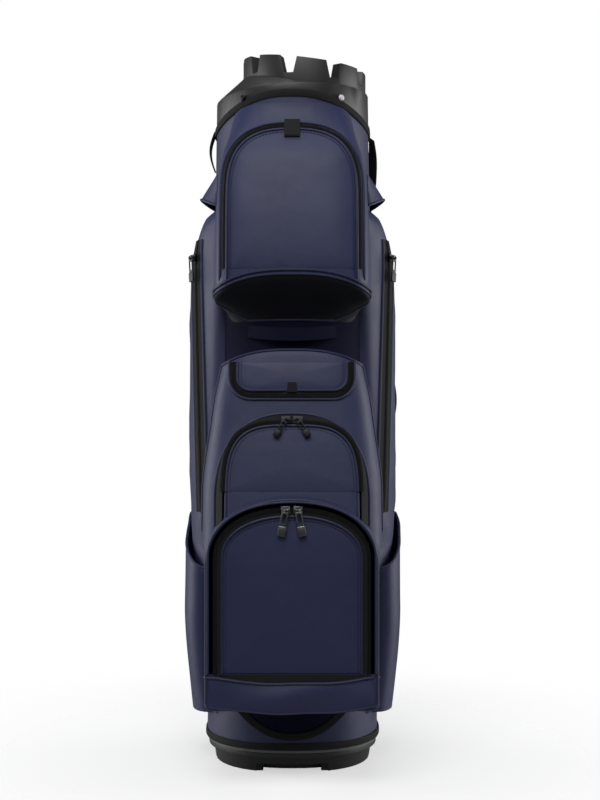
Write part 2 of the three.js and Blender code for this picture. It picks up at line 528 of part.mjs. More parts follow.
// Each front slider travels on an arc about a pivot, in its pocket's front plane.
const ballPlane = { normal: [0, -1, 0], topZ: ballLid.topZ + ballLid.zip / 2, radius: ballLid.pathRadius };
const midSlope = (midFrontY(mid.innerTop) - midFrontY(mid.innerTop - 60)) / 60;
const midPlane = { normal: [0, -1, midSlope], topZ: mid.innerTop + 5.2, radius: midLid.pathRadius };
const planeY = (plane, z) => (plane === ballPlane ? ball.frontY : midFrontY(mid.innerTop) + (z - mid.innerTop) * midSlope);
const frontSlider = (plane, sign) => {
  const turn = (sign * (slider.length / 2 + 2)) / plane.radius;
  const drop = plane.radius * (1 - Math.cos(turn));
  const point = [plane.radius * Math.sin(turn), planeY(plane, plane.topZ - drop), plane.topZ - drop];
  const place = (solid, raise, up) => placed(solid, point, up, plane.normal, raise);
  return {
    slider: place(sliderSolid(), GAP, [Math.sin(turn), 0, Math.cos(turn)]),
    pull: place(pullSolid(), GAP + slider.barHeight, [Math.sin(turn), 0, Math.cos(turn)]),
  };
};
function sideSlider() {
  const z = sideZip.topZ - 16, up = zipLine(z + 1).map((c, k) => c - zipLine(z)[k]);
  const lift0 = sideZip.thick + 2 * GAP;
  return {
    slider: placed(sliderSolid(), zipLine(z), up, zipOut, lift0),
    pull: placed(pullSolid(), zipLine(z), up, zipOut, lift0 + slider.barHeight),
  };
}

// ---------- straps, rings, tabs ----------
// A ring that lies flat at a point, facing the given way.
function flatRing(point, out) {
  return placed(solidOf(new THREE.TorusGeometry(ring.radius, ring.wire, 8, 18)), point, [0, 0, 1], out);
}
const strapOut = ([x, y]) => [x / (body.widthBottom / 2) ** 2, y / (body.depthBottom / 2) ** 2, 0];
function strapRun(path, off, width, thick) {
  const route = path.map((p) => {
    const out = new THREE.Vector3(...strapOut(p)).normalize();
    return new THREE.Vector3(...p).addScaledVector(out, off).toArray();
  });
  return ribbon(route, strapOut, width, thick);
}
function upperRing() {
  const [x, y] = strapPath[0], out = strapOut([x, y]);
  const h = bodyHalf(ring.upperZ);
  const off = binding.thick + ring.wire + 3 * GAP;
  const side = h.x * (1 - (y / h.y) ** OVALNESS) ** (1 / OVALNESS);
  return flatRing([side + off * 0.95, y + off * 0.3, ring.upperZ], out);
}
const lowerRing = () => flatRing([strapPath.at(-1)[0] - 8.6, side.backY + ring.wire + 2 * GAP, ring.lowZ], [0, 1, 0]);
function shoulderStrap() {
  const tapers = [0, 0.7, 1], last = strapPath.length - 1;
  const width = (i) => mix(strap.endWidth, strap.width, tapers[Math.min(i, last - i)] ?? 1);
  return strapRun(strapPath, 0, width, strap.thick);
}
function strapPad() {
  const path = strapPath.slice(strap.padFrom, strap.padTo + 1);
  const width = (i) => strap.padWidth * (i === 0 || i === path.length - 1 ? 0.75 : 1);
  return strapRun(path, strap.thick + GAP * 3, width, strap.padThick);
}
function gripRoute() {
  const steps = 10;
  return Array.from({ length: steps + 1 }, (_, i) => {
    const t = i / steps, z = mix(grip.lowZ, grip.topZ, t);
    return [-(bodyHalf(z).x + GAP + grip.bow * Math.sin(t * Math.PI)), grip.y, z];
  });
}
// The front of the club tube at x, on the -Y side.
const bodyFrontY = (x, z) => {
  const h = bodyHalf(z);
  return -h.y * (1 - Math.abs(x / h.x) ** OVALNESS) ** (1 / OVALNESS);
};
function liftHandle() {
  const steps = 12;
  const sagAt = (s) => lift.bow * Math.cos((s * Math.PI) / 2);
  const route = Array.from({ length: steps + 1 }, (_, i) => {
    const s = mix(-1, 1, i / steps), x = s * lift.halfWidth;
    return [x, bodyFrontY(x, lift.z) - 0.8 - sagAt(s), lift.z - 0.4 * sagAt(s)];
  });
  return ribbon(route, (p) => frontFacing(p), () => lift.width, lift.thick);
}
function baseGripBand() {
  const steps = 24;
  const route = Array.from({ length: steps + 1 }, (_, i) => {
    const s = mix(-1, 1, i / steps), x = s * baseGrip.halfWidth;
    const z = baseGrip.lowZ + (baseGrip.topZ - baseGrip.lowZ) * Math.abs(s) ** 2.2;
    return [x, bodyFrontY(x, z) - 1.1, z];
  });
  return ribbon(route, (p) => frontFacing(p), () => baseGrip.width, baseGrip.thick);
}
// A flat tab on a front surface, drawn between heights that are each given their own width.
function frontTab(rows, frontY, thick) {
  const front = rows.map(([z, half]) => ({ z, half, y: frontY(z) - GAP }));
  return loft(front.map(({ z, half, y }) => [[-half, y, z], [half, y, z], [half, y - thick, z], [-half, y - thick, z]]));
}
const frontFacing = ([x], _, z = 400) => [(x / bodyHalf(z).x) ** 3 * 1.2, -1, 0];

function snapStud(deg) {
  const a = rad(deg), z = skinTop(a) - binding.lap + binding.height / 2;
  const p = bodyPoint(a, z, GAP * 2 + binding.thick), q = bodyPoint(a + 0.02, z, GAP * 2 + binding.thick);
  const out = [q[1] - p[1], p[0] - q[0], 0];
  const geometry = new THREE.CylinderGeometry(stud.radius * 0.7, stud.radius, stud.height, 14).rotateX(Math.PI / 2);
  return placed(solidOf(geometry.translate(0, 0, stud.height / 2)), p, [0, 0, 1], out);
}

// ---------- the bag ----------
const finishes = {
  leather: { color: 0x2c3050, roughness: 0.5, metalness: 0 },
  mould: { color: 0x3a3a3c, roughness: 0.55, metalness: 0 },
  webbing: { color: 0x141414, roughness: 0.85, metalness: 0 },
  zip: { color: 0x1c1d1d, roughness: 0.7, metalness: 0 },
  metal: { color: 0x4a4a4c, roughness: 0.35, metalness: 0.9 },
  lining: { color: 0x2a2a2c, roughness: 0.9, metalness: 0 },
  foam: { color: 0x202022, roughness: 0.95, metalness: 0 },
  liner: { color: 0x60646a, roughness: 0.6, metalness: 0 },
  steel: { color: 0xc9c6c2, roughness: 0.25, metalness: 1 },
};
const bag = new THREE.Group();
bag.name = "golf_cart_bag";

// Adds a solid as a named mesh. Slivers finer than SLIVER that the cuts left are closed up.
function add(name, solid, finish) {
  const mesh = solid.asOriginal().simplify(SLIVER).getMesh();
  const vertices = new Float32Array(mesh.numVert * 3);
  for (let i = 0; i < mesh.numVert; i++)
    vertices.set(mesh.vertProperties.subarray(i * mesh.numProp, i * mesh.numProp + 3), i * 3);
  const geometry = new THREE.BufferGeometry();
  geometry.setAttribute("position", new THREE.BufferAttribute(vertices, 3));
  geometry.setIndex(new THREE.BufferAttribute(new Uint32Array(mesh.triVerts), 1));
  geometry.computeVertexNormals();
  const made = new THREE.Mesh(geometry, new THREE.MeshStandardMaterial(finishes[finish]));
  made.name = name;
  bag.add(made);
}
const mirrored = (solid) => solid.mirror([1, 0, 0]);

add("base_cup", baseCup(), "mould");
add("base_pad", basePad(), "foam");
add("inner_tube", innerTube(), "liner");
add("body_skin", bodySkin(), "leather");
add("base_binding", baseBinding(), "webbing");
add("collar_binding", collarBinding(), "webbing");
add("top_collar", topCollar(), "mould");
add("organizer_crown", organizerCrown(), "mould");
for (const [word, row] of [["front", -1], ["middle", 0], ["back", 1]]) {
  add(`divider_bar_${word}`, dividerBar(row), "mould");
  add(`divider_sheet_${word}`, dividerSheet(row), "lining");
}
add("stay_rod_left", stayRod(-1), "steel");
add("stay_rod_right", stayRod(1), "steel");

const upperParts = upperPocket();
add("upper_pocket_shell", upperParts.shell, "leather");
add("upper_pocket_zip", upperParts.zip, "zip");
add("upper_pocket_lid", upperParts.lid, "leather");
const apronParts = frontApron();
add("front_apron", apronParts.shell, "leather");
add("flap_pocket_zip", apronParts.zip, "zip");
add("flap_pocket_flap", apronParts.lid, "leather");
const midParts = midPocket();
add("mid_pocket_gusset", midParts.gusset, "zip");
add("mid_pocket_lid", midParts.lid, "leather");
const ballParts = ballPocket();
add("ball_pocket_shell", ballParts.shell, "leather");
add("ball_pocket_zip", ballParts.zip, "zip");
add("ball_pocket_lid", ballParts.lid, "leather");
add("ball_pocket_lip", ballLip(), "leather");

for (const [word, turn] of [["left", (s) => mirrored(s)], ["right", (s) => s]]) {
  add(`side_pocket_${word}`, turn(sidePocket()), "leather");
  add(`side_zip_${word}`, turn(sideZipBand()), "zip");
  add(`slip_pocket_${word}`, turn(slipPocket()), "leather");
  add(`side_hood_${word}`, turn(sideHood()), "leather");
}
add("side_grip", ribbon(gripRoute(), () => [-1, 0, 0], grip.width, grip.thick), "webbing");
add("lift_handle", liftHandle(), "webbing");
add("base_grip", baseGripBand(), "webbing");

for (const [pocket, plane, finish] of [["mid", midPlane, "mould"], ["ball", ballPlane, "metal"]])
  for (const [word, sign] of [["left", -1], ["right", 1]]) {
    const parts = frontSlider(plane, sign);
    add(`${pocket}_slider_${word}`, parts.slider, finish);
    add(`${pocket}_pull_${word}`, parts.pull, finish);
  }
for (const [word, turn] of [["left", (s) => mirrored(s)], ["right", (s) => s]]) {
  const parts = sideSlider();
  add(`side_slider_${word}`, turn(parts.slider), "metal");
  add(`side_pull_${word}`, turn(parts.pull), "metal");
}

add("shoulder_strap", shoulderStrap(), "webbing");
add("strap_pad", strapPad(), "webbing");
add("strap_ring_upper", upperRing(), "steel");
add("strap_ring_lower", lowerRing(), "steel");
const upperTabRows = [[tab.upperLowZ, tab.width / 2 - 2], [tab.upperLowZ + 4, tab.width / 2], [tab.upperTopZ, tab.width / 2]];
add("upper_tab", frontTab(upperTabRows, (z) => upperFrontY(z), tab.thick), "webbing");
const flapTabTop = flap.bottomZ + tab.flapHeight;
const flapTabRows = [[flap.bottomZ + 1, tab.flapWidth / 2 - 2], [flapTabTop, tab.flapWidth / 2]];
add("flap_tab", frontTab(flapTabRows, apronFront, tab.thick), "webbing");
add("snap_stud_left", snapStud(-stud.angleDeg), "steel");
add("snap_stud_right", snapStud(stud.angleDeg), "steel");

export default bag;
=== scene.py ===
"""Golf cart bag: soft leather pockets, zips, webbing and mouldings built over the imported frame.

Metres, +Z up, the pocket side faces -Y. Each sub-assembly is a class whose build method makes its
pieces, and ClubTube.dress gives the frame nodes that stay in view their finishes.
"""

from __future__ import annotations

import json
import logging
import math
from dataclasses import dataclass, field
from enum import Enum
from typing import Any, Callable, Sequence

import bmesh
import bpy
import numpy as np
from mathutils import Matrix, Vector, noise

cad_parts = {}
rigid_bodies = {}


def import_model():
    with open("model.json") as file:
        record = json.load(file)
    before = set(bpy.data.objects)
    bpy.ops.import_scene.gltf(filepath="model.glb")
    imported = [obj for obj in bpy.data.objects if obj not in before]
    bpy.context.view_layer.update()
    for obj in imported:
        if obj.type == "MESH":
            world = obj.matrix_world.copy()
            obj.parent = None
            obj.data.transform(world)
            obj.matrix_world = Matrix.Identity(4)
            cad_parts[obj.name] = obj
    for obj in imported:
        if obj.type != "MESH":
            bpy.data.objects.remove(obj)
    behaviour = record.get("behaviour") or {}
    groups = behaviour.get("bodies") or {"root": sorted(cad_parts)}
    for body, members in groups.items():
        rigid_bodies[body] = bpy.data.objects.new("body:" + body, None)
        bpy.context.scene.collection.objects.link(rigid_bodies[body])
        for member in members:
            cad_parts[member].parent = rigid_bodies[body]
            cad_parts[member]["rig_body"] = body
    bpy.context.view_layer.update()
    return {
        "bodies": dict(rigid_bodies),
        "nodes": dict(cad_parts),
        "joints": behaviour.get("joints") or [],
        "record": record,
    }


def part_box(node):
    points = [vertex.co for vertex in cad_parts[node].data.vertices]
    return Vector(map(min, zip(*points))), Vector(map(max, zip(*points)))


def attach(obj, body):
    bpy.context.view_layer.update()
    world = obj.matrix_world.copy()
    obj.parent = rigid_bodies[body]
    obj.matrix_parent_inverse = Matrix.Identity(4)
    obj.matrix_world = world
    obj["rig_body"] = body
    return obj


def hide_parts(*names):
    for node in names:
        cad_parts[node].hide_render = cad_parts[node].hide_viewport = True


LOG = logging.getLogger("cart_bag")
Colour = tuple[float, float, float]
Points = np.ndarray
Surface = Callable[[float, float], float]
Numeric = Any


class Side(Enum):
    """The two sides of the bag, as the sign of X."""

    LEFT = -1
    RIGHT = 1

    @property
    def word(self) -> str:
        """The side's name as the nodes spell it."""
        return self.name.lower()


# ---------------------------------------------------------------- shader graph


class Value:
    """A shader socket that takes Python's arithmetic; each operation adds a Math node."""

    def __init__(self, graph: Graph, socket: bpy.types.NodeSocket) -> None:
        """Wrap a socket of a graph."""
        self.graph = graph
        self.socket = socket

    def _math(self, operation: str, *values: Numeric) -> Value:
        """Add a Math node.

        Args:
            operation: The node's operation.
            values: Its inputs in order, sockets or numbers.

        Returns:
            The node's result.
        """
        node = self.graph.node("ShaderNodeMath", {"operation": operation}, dict(enumerate(values)))
        return Value(self.graph, node.outputs[0])

    def __add__(self, other: Numeric) -> Value:
        """Sum."""
        return self._math("ADD", self, other)

    __radd__ = __add__

    def __sub__(self, other: Numeric) -> Value:
        """Difference."""
        return self._math("SUBTRACT", self, other)

    def __rsub__(self, other: Numeric) -> Value:
        """Difference, turned round."""
        return self._math("SUBTRACT", other, self)

    def __mul__(self, other: Numeric) -> Value:
        """Product."""
        return self._math("MULTIPLY", self, other)

    __rmul__ = __mul__

    def sine(self) -> Value:
        """Sine, in radians."""
        return self._math("SINE", self)

    def size(self) -> Value:
        """Absolute value."""
        return self._math("ABSOLUTE", self)

    def most(self, other: Numeric) -> Value:
        """The larger of the two."""
        return self._math("MAXIMUM", self, other)

    def between(self, low: float, high: float) -> Value:
        """A smooth step from 0 at low to 1 at high."""
        settings = {"interpolation_type": "SMOOTHSTEP"}
        node = self.graph.node("ShaderNodeMapRange", settings, {0: self, 1: low, 2: high})
        return Value(self.graph, node.outputs[0])


class Graph:
    """The node graph of a material or a world, with one method that makes any node."""

    def __init__(self, holder: Any) -> None:
        """Empty the graph of a material or a world."""
        self.holder = holder
        self.holder.use_nodes = True
        self.tree = self.holder.node_tree
        self.tree.nodes.clear()

    def node(
        self, kind: str, settings: dict[str, Any] | None = None, inputs: dict[Any, Any] | None = None
    ) -> Any:
        """Make a node.

        Args:
            kind: The node's type name.
            settings: Attributes set before anything is linked.
            inputs: Values or links for its sockets, by index or name.

        Returns:
            The node.
        """
        made = self.tree.nodes.new(kind)
        for key, value in (settings or {}).items():
            setattr(made, key, value)
        for key, value in (inputs or {}).items():
            source = value.socket if isinstance(value, Value) else value
            if isinstance(source, bpy.types.NodeSocket):
                self.tree.links.new(source, made.inputs[key])
            else:
                made.inputs[key].default_value = source
        return made

    def place(self) -> Value:
        """The point on the piece, in metres."""
        return Value(self, self.node("ShaderNodeTexCoord").outputs["Object"])

    def strip(self) -> tuple[Value, Value]:
        """Metres along and across a strip, from its own map."""
        coord = self.node("ShaderNodeTexCoord").outputs["UV"]
        parts = self.node("ShaderNodeSeparateXYZ", None, {0: coord})
        return Value(self, parts.outputs[0]), Value(self, parts.outputs[1])

    def grainy(self, vector: Value, scale: float, detail: float = 2.0, rough: float = 0.5) -> Value:
        """Noise from 0 to 1 at a scale per metre."""
        inputs = {"Vector": vector, "Scale": scale, "Detail": detail, "Roughness": rough}
        return Value(self, self.node("ShaderNodeTexNoise", None, inputs).outputs[0])

    def cells(self, vector: Value, scale: float) -> Value:
        """Distance to the edge of a random cell, for leather grain."""
        inputs = {"Vector": vector, "Scale": scale}
        node = self.node("ShaderNodeTexVoronoi", {"feature": "DISTANCE_TO_EDGE"}, inputs)
        return Value(self, node.outputs["Distance"])

    def blend(self, factor: Value, low: Colour, high: Colour) -> Value:
        """A colour between two, by a factor."""
        inputs = {0: factor, 6: (*low, 1.0), 7: (*high, 1.0)}
        node = self.node("ShaderNodeMix", {"data_type": "RGBA"}, inputs)
        return Value(self, node.outputs[2])

    def bump(self, height: Value, depth: float, strength: float = 1.0, under: Value | None = None) -> Value:
        """A bump of a real depth in metres, over another where one is given."""
        inputs: dict[Any, Any] = {"Height": height, "Distance": depth, "Strength": strength}
        if under is not None:
            inputs["Normal"] = under
        return Value(self, self.node("ShaderNodeBump", None, inputs).outputs[0])

    def surface(self, **inputs: Any) -> bpy.types.Material:
        """Close the graph with a Principled shader.

        Args:
            inputs: Socket values, with underscores for the spaces in their names.

        Returns:
            The material.
        """
        named = {key.replace("_", " "): value for key, value in inputs.items()}
        shader = self.node("ShaderNodeBsdfPrincipled", None, named)
        self.node("ShaderNodeOutputMaterial", None, {0: shader.outputs[0]})
        return self.holder


# ---------------------------------------------------------------- finishes


@dataclass(frozen=True)
class Finish:
    """What a surface is made of, with the record's slot it belongs to."""

    name: str
    slot: str
    colour: Colour

    def paint(self, graph: Graph) -> bpy.types.Material:
        """Make the material's nodes."""
        return graph.surface(Base_Color=(*self.colour, 1.0))

    def material(self) -> bpy.types.Material:
        """The finish's material, made once."""
        label = f"{self.name}_finish"
        known = bpy.data.materials.get(label)
        return known if known else self.paint(Graph(bpy.data.materials.new(label)))

    def shade(self, amount: float) -> Colour:
        """The colour, scaled."""
        return tuple(c * amount for c in self.colour)  # type: ignore[return-value]


@dataclass(frozen=True)
class Leather(Finish):
    """Coated leather with a fine grain, a satin face and slight unevenness over its foam."""

    rough: float = 0.5
    grain: float = 1500.0
    shine: float = 0.33

    def paint(self, graph: Graph) -> bpy.types.Material:
        """Make the material's nodes."""
        at = graph.place()
        tone = graph.grainy(at, 7.0, 3.0)
        colour = graph.blend(tone, self.shade(0.88), self.shade(1.13))
        pores = graph.cells(at, self.grain).between(0.0, 0.3)
        fibre = graph.grainy(at, 4200.0, 2.0)
        soft = graph.grainy(at, 38.0, 2.0)
        normal = graph.bump(soft, 0.0022, 0.35)
        normal = graph.bump(pores * 0.7 + fibre * 0.3, 0.00011, 0.55, normal)
        rough = graph.grainy(at, 55.0, 3.0) * 0.12 + (self.rough - 0.06) + (1.0 - pores) * 0.05
        return graph.surface(
            Base_Color=colour, Roughness=rough, Normal=normal, Specular_IOR_Level=self.shine
        )


@dataclass(frozen=True)
class Weave(Finish):
    """Woven webbing or tape, with its threads running along the strip's own map."""

    pitch: float = 0.0021
    lines: float = 0.0016
    depth: float = 0.00022

    def paint(self, graph: Graph) -> bpy.types.Material:
        """Make the material's nodes."""
        along, across = graph.strip()
        at = graph.place()
        turn = 2 * math.pi
        weft = (along * (turn / self.pitch) + across * (turn / self.lines * 0.5)).sine()
        warp = (across * (turn / self.lines)).sine().size()
        thread = (weft * 0.5 + 0.5) * warp
        fuzz = graph.grainy(at, 2600.0, 2.0)
        tone = thread * 0.7 + graph.grainy(at, 30.0, 2.0) * 0.3
        colour = graph.blend(tone, self.shade(0.55), self.shade(1.6))
        normal = graph.bump(thread * 0.85 + fuzz * 0.15, self.depth, 0.8)
        return graph.surface(
            Base_Color=colour, Roughness=0.88 - thread * 0.14, Normal=normal, Specular_IOR_Level=0.3
        )


@dataclass(frozen=True)
class Moulding(Finish):
    """Moulded plastic with a fine spark texture."""

    rough: float = 0.46

    def paint(self, graph: Graph) -> bpy.types.Material:
        """Make the material's nodes."""
        at = graph.place()
        spark = graph.grainy(at, 1600.0, 3.0)
        flow = graph.grainy(at, 16.0, 2.0)
        colour = graph.blend(flow, self.shade(0.86), self.shade(1.16))
        normal = graph.bump(spark, 0.00009, 0.6)
        return graph.surface(Base_Color=colour, Roughness=flow * 0.1 + self.rough, Normal=normal)


@dataclass(frozen=True)
class Metal(Finish):
    """Plated or brushed metal with faint drawn lines."""

    rough: float = 0.28

    def paint(self, graph: Graph) -> bpy.types.Material:
        """Make the material's nodes."""
        at = graph.place()
        worn = graph.grainy(at, 240.0, 3.0)
        colour = graph.blend(worn, self.shade(0.85), self.shade(1.15))
        normal = graph.bump(graph.grainy(at, 3000.0, 2.0), 0.00002, 0.5)
        rough = worn * 0.14 + self.rough
        return graph.surface(Base_Color=colour, Metallic=1.0, Roughness=rough, Normal=normal)


@dataclass(frozen=True)
class Cloth(Finish):
    """Knitted mesh or brushed lining, patterned over the piece itself."""

    hole: float = 520.0
    depth: float = 0.0003

    def paint(self, graph: Graph) -> bpy.types.Material:
        """Make the material's nodes."""
        at = graph.place()
        knit = graph.cells(at, self.hole).between(0.02, 0.35)
        colour = graph.blend(knit, self.shade(1.5), self.shade(0.5))
        normal = graph.bump(1.0 - knit, self.depth, 0.7)
        rough = 0.9 - knit * 0.08
        return graph.surface(Base_Color=colour, Roughness=rough, Normal=normal, Specular_IOR_Level=0.25)


NAVY = Leather("navy_leather", "navy_leather", (0.023, 0.027, 0.074), 0.47)
# Piping a little darker than the navy leather: partly its own tone, partly painted shade for the shadow lines
# along each cord.
NAVY_EDGE = Leather("navy_piping", "navy_leather", (0.0175, 0.0205, 0.057), 0.42, 2400.0)
# Dark navy with almost no sheen, painted shade: the recess under the upper pocket's belly, the lift handle in
# it and the inset under the ball pocket's lip.
NAVY_PAINTED_SHADE = Leather("navy_leather_under", "navy_leather", (0.0085, 0.0096, 0.0225), 0.66, shine=0.02)
# Near-black leather for the upper pocket's belly, painted shade of its downward face.
BELLY_PAINTED_SHADE = Leather("black_leather", "navy_leather", (0.0085, 0.0088, 0.0115), 0.6, shine=0.15)
PEARL = Moulding("pearl_enamel", "bright_metal", (0.66, 0.6, 0.6), 0.2)
THREAD = Weave("navy_thread", "navy_leather", (0.03, 0.034, 0.07), 0.0012, 0.0008)
WEBBING = Weave("black_webbing", "black_webbing", (0.007, 0.007, 0.0075))
TAPE = Weave("black_zip_tape", "black_zip", (0.0092, 0.0092, 0.0097), 0.0014, 0.0013, 0.0003)
MOULD = Moulding("black_mould", "black_mould", (0.0112, 0.0112, 0.0117), 0.42)
BASE_MOULD = Moulding("black_base_mould", "black_mould", (0.0085, 0.0085, 0.009), 0.5)
GUNMETAL = Metal("gunmetal_plate", "dark_metal", (0.16, 0.16, 0.165), 0.3)
BLACK_METAL = Metal("black_plate", "dark_metal", (0.03, 0.03, 0.032), 0.34)
STEEL = Metal("bright_steel", "bright_metal", (0.62, 0.6, 0.57), 0.2)
LINER = Moulding("grey_liner", "grey_liner", (0.1, 0.105, 0.11), 0.55)
LINING = Cloth("dark_lining", "dark_lining", (0.022, 0.022, 0.025), 900.0, 0.00012)
KNIT = Cloth("black_knit_mesh", "black_zip", (0.0085, 0.0085, 0.0095), 420.0, 0.0004)
FOAM = Cloth("black_foam", "black_foam", (0.013, 0.013, 0.014), 620.0, 0.0003)


# ---------------------------------------------------------------- mesh helpers


def smooth_table(keys: Sequence[tuple[float, float]], at: float) -> float:
    """Read a table with smooth, unforced slopes between its keys.

    Args:
        keys: Pairs of position and value, rising in position.
        at: Where to read it.

    Returns:
        The value there.
    """
    xs = [k[0] for k in keys]
    ys = [k[1] for k in keys]
    if at <= xs[0]:
        return ys[0]
    if at >= xs[-1]:
        return ys[-1]
    i = max(j for j in range(len(xs) - 1) if xs[j] <= at)
    chord = [(ys[j + 1] - ys[j]) / (xs[j + 1] - xs[j]) for j in range(len(xs) - 1)]

    def slope(j: int) -> float:
        """The slope at a key, level at a peak so that nothing overshoots."""
        if j in (0, len(xs) - 1):
            return chord[min(j, len(chord) - 1)]
        before, after = chord[j - 1], chord[j]
        return 0.0 if before * after <= 0 else 2 * before * after / (before + after)

    width = xs[i + 1] - xs[i]
    t = (at - xs[i]) / width
    return (
        (2 * t**3 - 3 * t**2 + 1) * ys[i]
        + (t**3 - 2 * t**2 + t) * width * slope(i)
        + (3 * t**2 - 2 * t**3) * ys[i + 1]
        + (t**3 - t**2) * width * slope(i + 1)
    )


def run_along(path: Points) -> Points:
    """The length of a path up to each of its points."""
    return np.concatenate([[0.0], np.cumsum(np.linalg.norm(np.diff(path, axis=0), axis=1))])


def resample(path: Points, count: int, closed: bool = False) -> Points:
    """Space points evenly along a path.

    Args:
        path: The points, in two or three dimensions.
        count: How many points to return.
        closed: Whether the path returns to its start.

    Returns:
        The evenly spaced points.
    """
    full = np.vstack([path, path[:1]]) if closed else np.asarray(path, dtype=float)
    run = run_along(full)
    at = np.linspace(0.0, run[-1], count + 1)[:-1] if closed else np.linspace(0.0, run[-1], count)
    return np.stack([np.interp(at, run, full[:, k]) for k in range(full.shape[1])], axis=1)


def soften(path: Points, times: int = 2) -> Points:
    """Round a path's corners by cutting them off again and again.

    Args:
        path: The points.
        times: How often the corners are cut.

    Returns:
        The rounded path.
    """
    points = np.asarray(path, dtype=float)
    for _ in range(times):
        after = np.roll(points, -1, axis=0)
        cut = np.stack([0.75 * points + 0.25 * after, 0.25 * points + 0.75 * after], axis=1)
        cut = cut.reshape(-1, points.shape[1])
        points = np.vstack([points[:1], cut[1:-3], points[-1:]])
    return points


def unit(vector: Points) -> Points:
    """Vectors scaled to length one."""
    return vector / np.maximum(np.linalg.norm(vector, axis=-1, keepdims=True), 1e-12)


@dataclass
class Sewing:
    """Mesh data gathered bit by bit: points, faces and a map in metres over each face's corners."""

    points: list[Points] = field(default_factory=list)
    faces: list[tuple[int, ...]] = field(default_factory=list)
    marks: list[Points] = field(default_factory=list)
    count: int = 0

    def add(self, points: Points, marks: Points | None = None) -> int:
        """Add points and return the index of the first."""
        start = self.count
        points = np.asarray(points, dtype=float).reshape(-1, 3)
        self.points.append(points)
        self.marks.append(np.zeros((len(points), 2)) if marks is None else np.asarray(marks).reshape(-1, 2))
        self.count += len(points)
        return start

    def grid(self, rows: Points, wrap: bool = False) -> None:
        """Add a sheet of quads.

        Args:
            rows: Points as rows by columns by three.
            wrap: Whether each row closes on itself.
        """
        rows = np.asarray(rows, dtype=float)
        if wrap:
            rows = np.concatenate([rows, rows[:, :1]], axis=1)
        high, wide = rows.shape[:2]
        across = run_along(rows[high // 2])
        along = run_along(rows[:, wide // 2])
        marks = np.stack(np.meshgrid(across, along), axis=-1)
        start = self.add(rows, marks)
        for i in range(high - 1):
            for j in range(wide - 1):
                a = start + i * wide + j
                self.faces.append((a, a + 1, a + wide + 1, a + wide))

    def fan(self, ring: Points, flip: bool = False) -> None:
        """Close a ring of points with triangles about its middle."""
        count = len(ring)
        start = self.add(np.vstack([ring, np.mean(ring, axis=0)]))
        for j in range(count):
            a, b = start + j, start + (j + 1) % count
            self.faces.append((b, a, start + count) if flip else (a, b, start + count))

    def tube(self, path: Points, radius: float, sides: int = 8) -> None:
        """Add a round cord along a path, with closed ends.

        Args:
            path: The points of its middle line.
            radius: Its radius.
            sides: How many sides the cord has.
        """
        path = np.asarray(path, dtype=float)
        before, after = np.roll(path, 1, axis=0), np.roll(path, -1, axis=0)
        before[0], after[-1] = path[0], path[-1]
        along = unit(after - before)
        side = np.cross(along[0], [0.0, 0.0, 1.0] if abs(along[0][2]) < 0.9 else [1.0, 0.0, 0.0])
        turn = np.linspace(0, 2 * np.pi, sides, endpoint=False)
        rings = []
        for point, forward in zip(path, along):
            side = unit(side - forward * np.dot(side, forward))
            up = np.cross(forward, side)
            rings.append(point + radius * (np.outer(np.cos(turn), side) + np.outer(np.sin(turn), up)))
        self.closed_tube(np.array(rings))

    def closed_tube(self, rings: Points) -> None:
        """Add a tube through rings of points, closed at both ends."""
        self.grid(rings, wrap=True)
        self.fan(rings[0], flip=True)
        self.fan(rings[-1])

    def strap(self, path: Points, outward: Points, width: Numeric, thick: float) -> None:
        """Add a flat band along a path, with rounded edges.

        Args:
            path: The middle of the band's inner face.
            outward: The direction its face looks, or one for each point.
            width: Its width, or one for each point.
            thick: Its thickness.
        """
        path, outward = np.asarray(path, dtype=float), np.asarray(outward, dtype=float)
        along = unit(np.vstack([path[1:], path[-1:]]) - np.vstack([path[:1], path[:-1]]))
        normal = unit(outward - along * np.sum(outward * along, axis=1, keepdims=True))
        across = np.cross(along, normal)
        half = (np.broadcast_to(np.asarray(width, dtype=float), (len(path),)) / 2)[:, None]
        cut = thick * 0.3
        levels = (0.0, cut, thick - cut, thick)
        left = [(-1, cut, 0), (-1, 0, 1), (-1, 0, 2), (-1, cut, 3)]
        corners = left + [(1, inset, level) for _, inset, level in reversed(left)]
        section = [path + across * (s * (half - inset)) + normal * levels[k] for s, inset, k in corners]
        self.closed_tube(np.stack(section, axis=1))
        spread = np.array([s * 0.5 for s, _, _ in corners] + [-0.5])
        reach = np.stack([np.repeat(run_along(path), 9), (spread * (2 * half)).reshape(-1)], axis=1)
        self.marks[-3] = reach

    def block(self, middle: Points, axes: Points, size: Sequence[float]) -> None:
        """Add a small block with its long edges chamfered away towards the top.

        Args:
            middle: Its middle.
            axes: Its three directions, as rows.
            size: Its full sizes along them.
        """
        half = np.asarray(size) / 2
        low = [(-1, -1, -1), (1, -1, -1), (1, 1, -1), (-1, 1, -1)]
        high = [(-0.75, -0.6, 1), (0.75, -0.6, 1), (0.75, 0.6, 1), (-0.75, 0.6, 1)]
        corners = np.array([np.asarray(c) * half @ axes for c in low + high]) + middle
        a = self.add(corners)
        sides = [(0, 3, 2, 1), (4, 5, 6, 7), (0, 1, 5, 4), (1, 2, 6, 5), (2, 3, 7, 6), (3, 0, 4, 7)]
        self.faces.extend(tuple(a + k for k in f) for f in sides)

    def stitches(self, path: Points, outward: Points) -> None:
        """Add a row of raised stitches along a path that lies on a surface."""
        length, width, height, pitch, lift = 0.0032, 0.0009, 0.0007, 0.0046, 0.00015
        run = float(np.linalg.norm(np.diff(path, axis=0), axis=1).sum())
        count = max(2, int(run / pitch))
        spots, looks = resample(path, count), unit(resample(outward, count))
        along = unit(np.gradient(spots, axis=0))
        for spot, forward, look in zip(spots, along, looks):
            axes = np.array([forward, np.cross(look, forward), look])
            self.block(spot + look * lift, axes, (length, width, height))

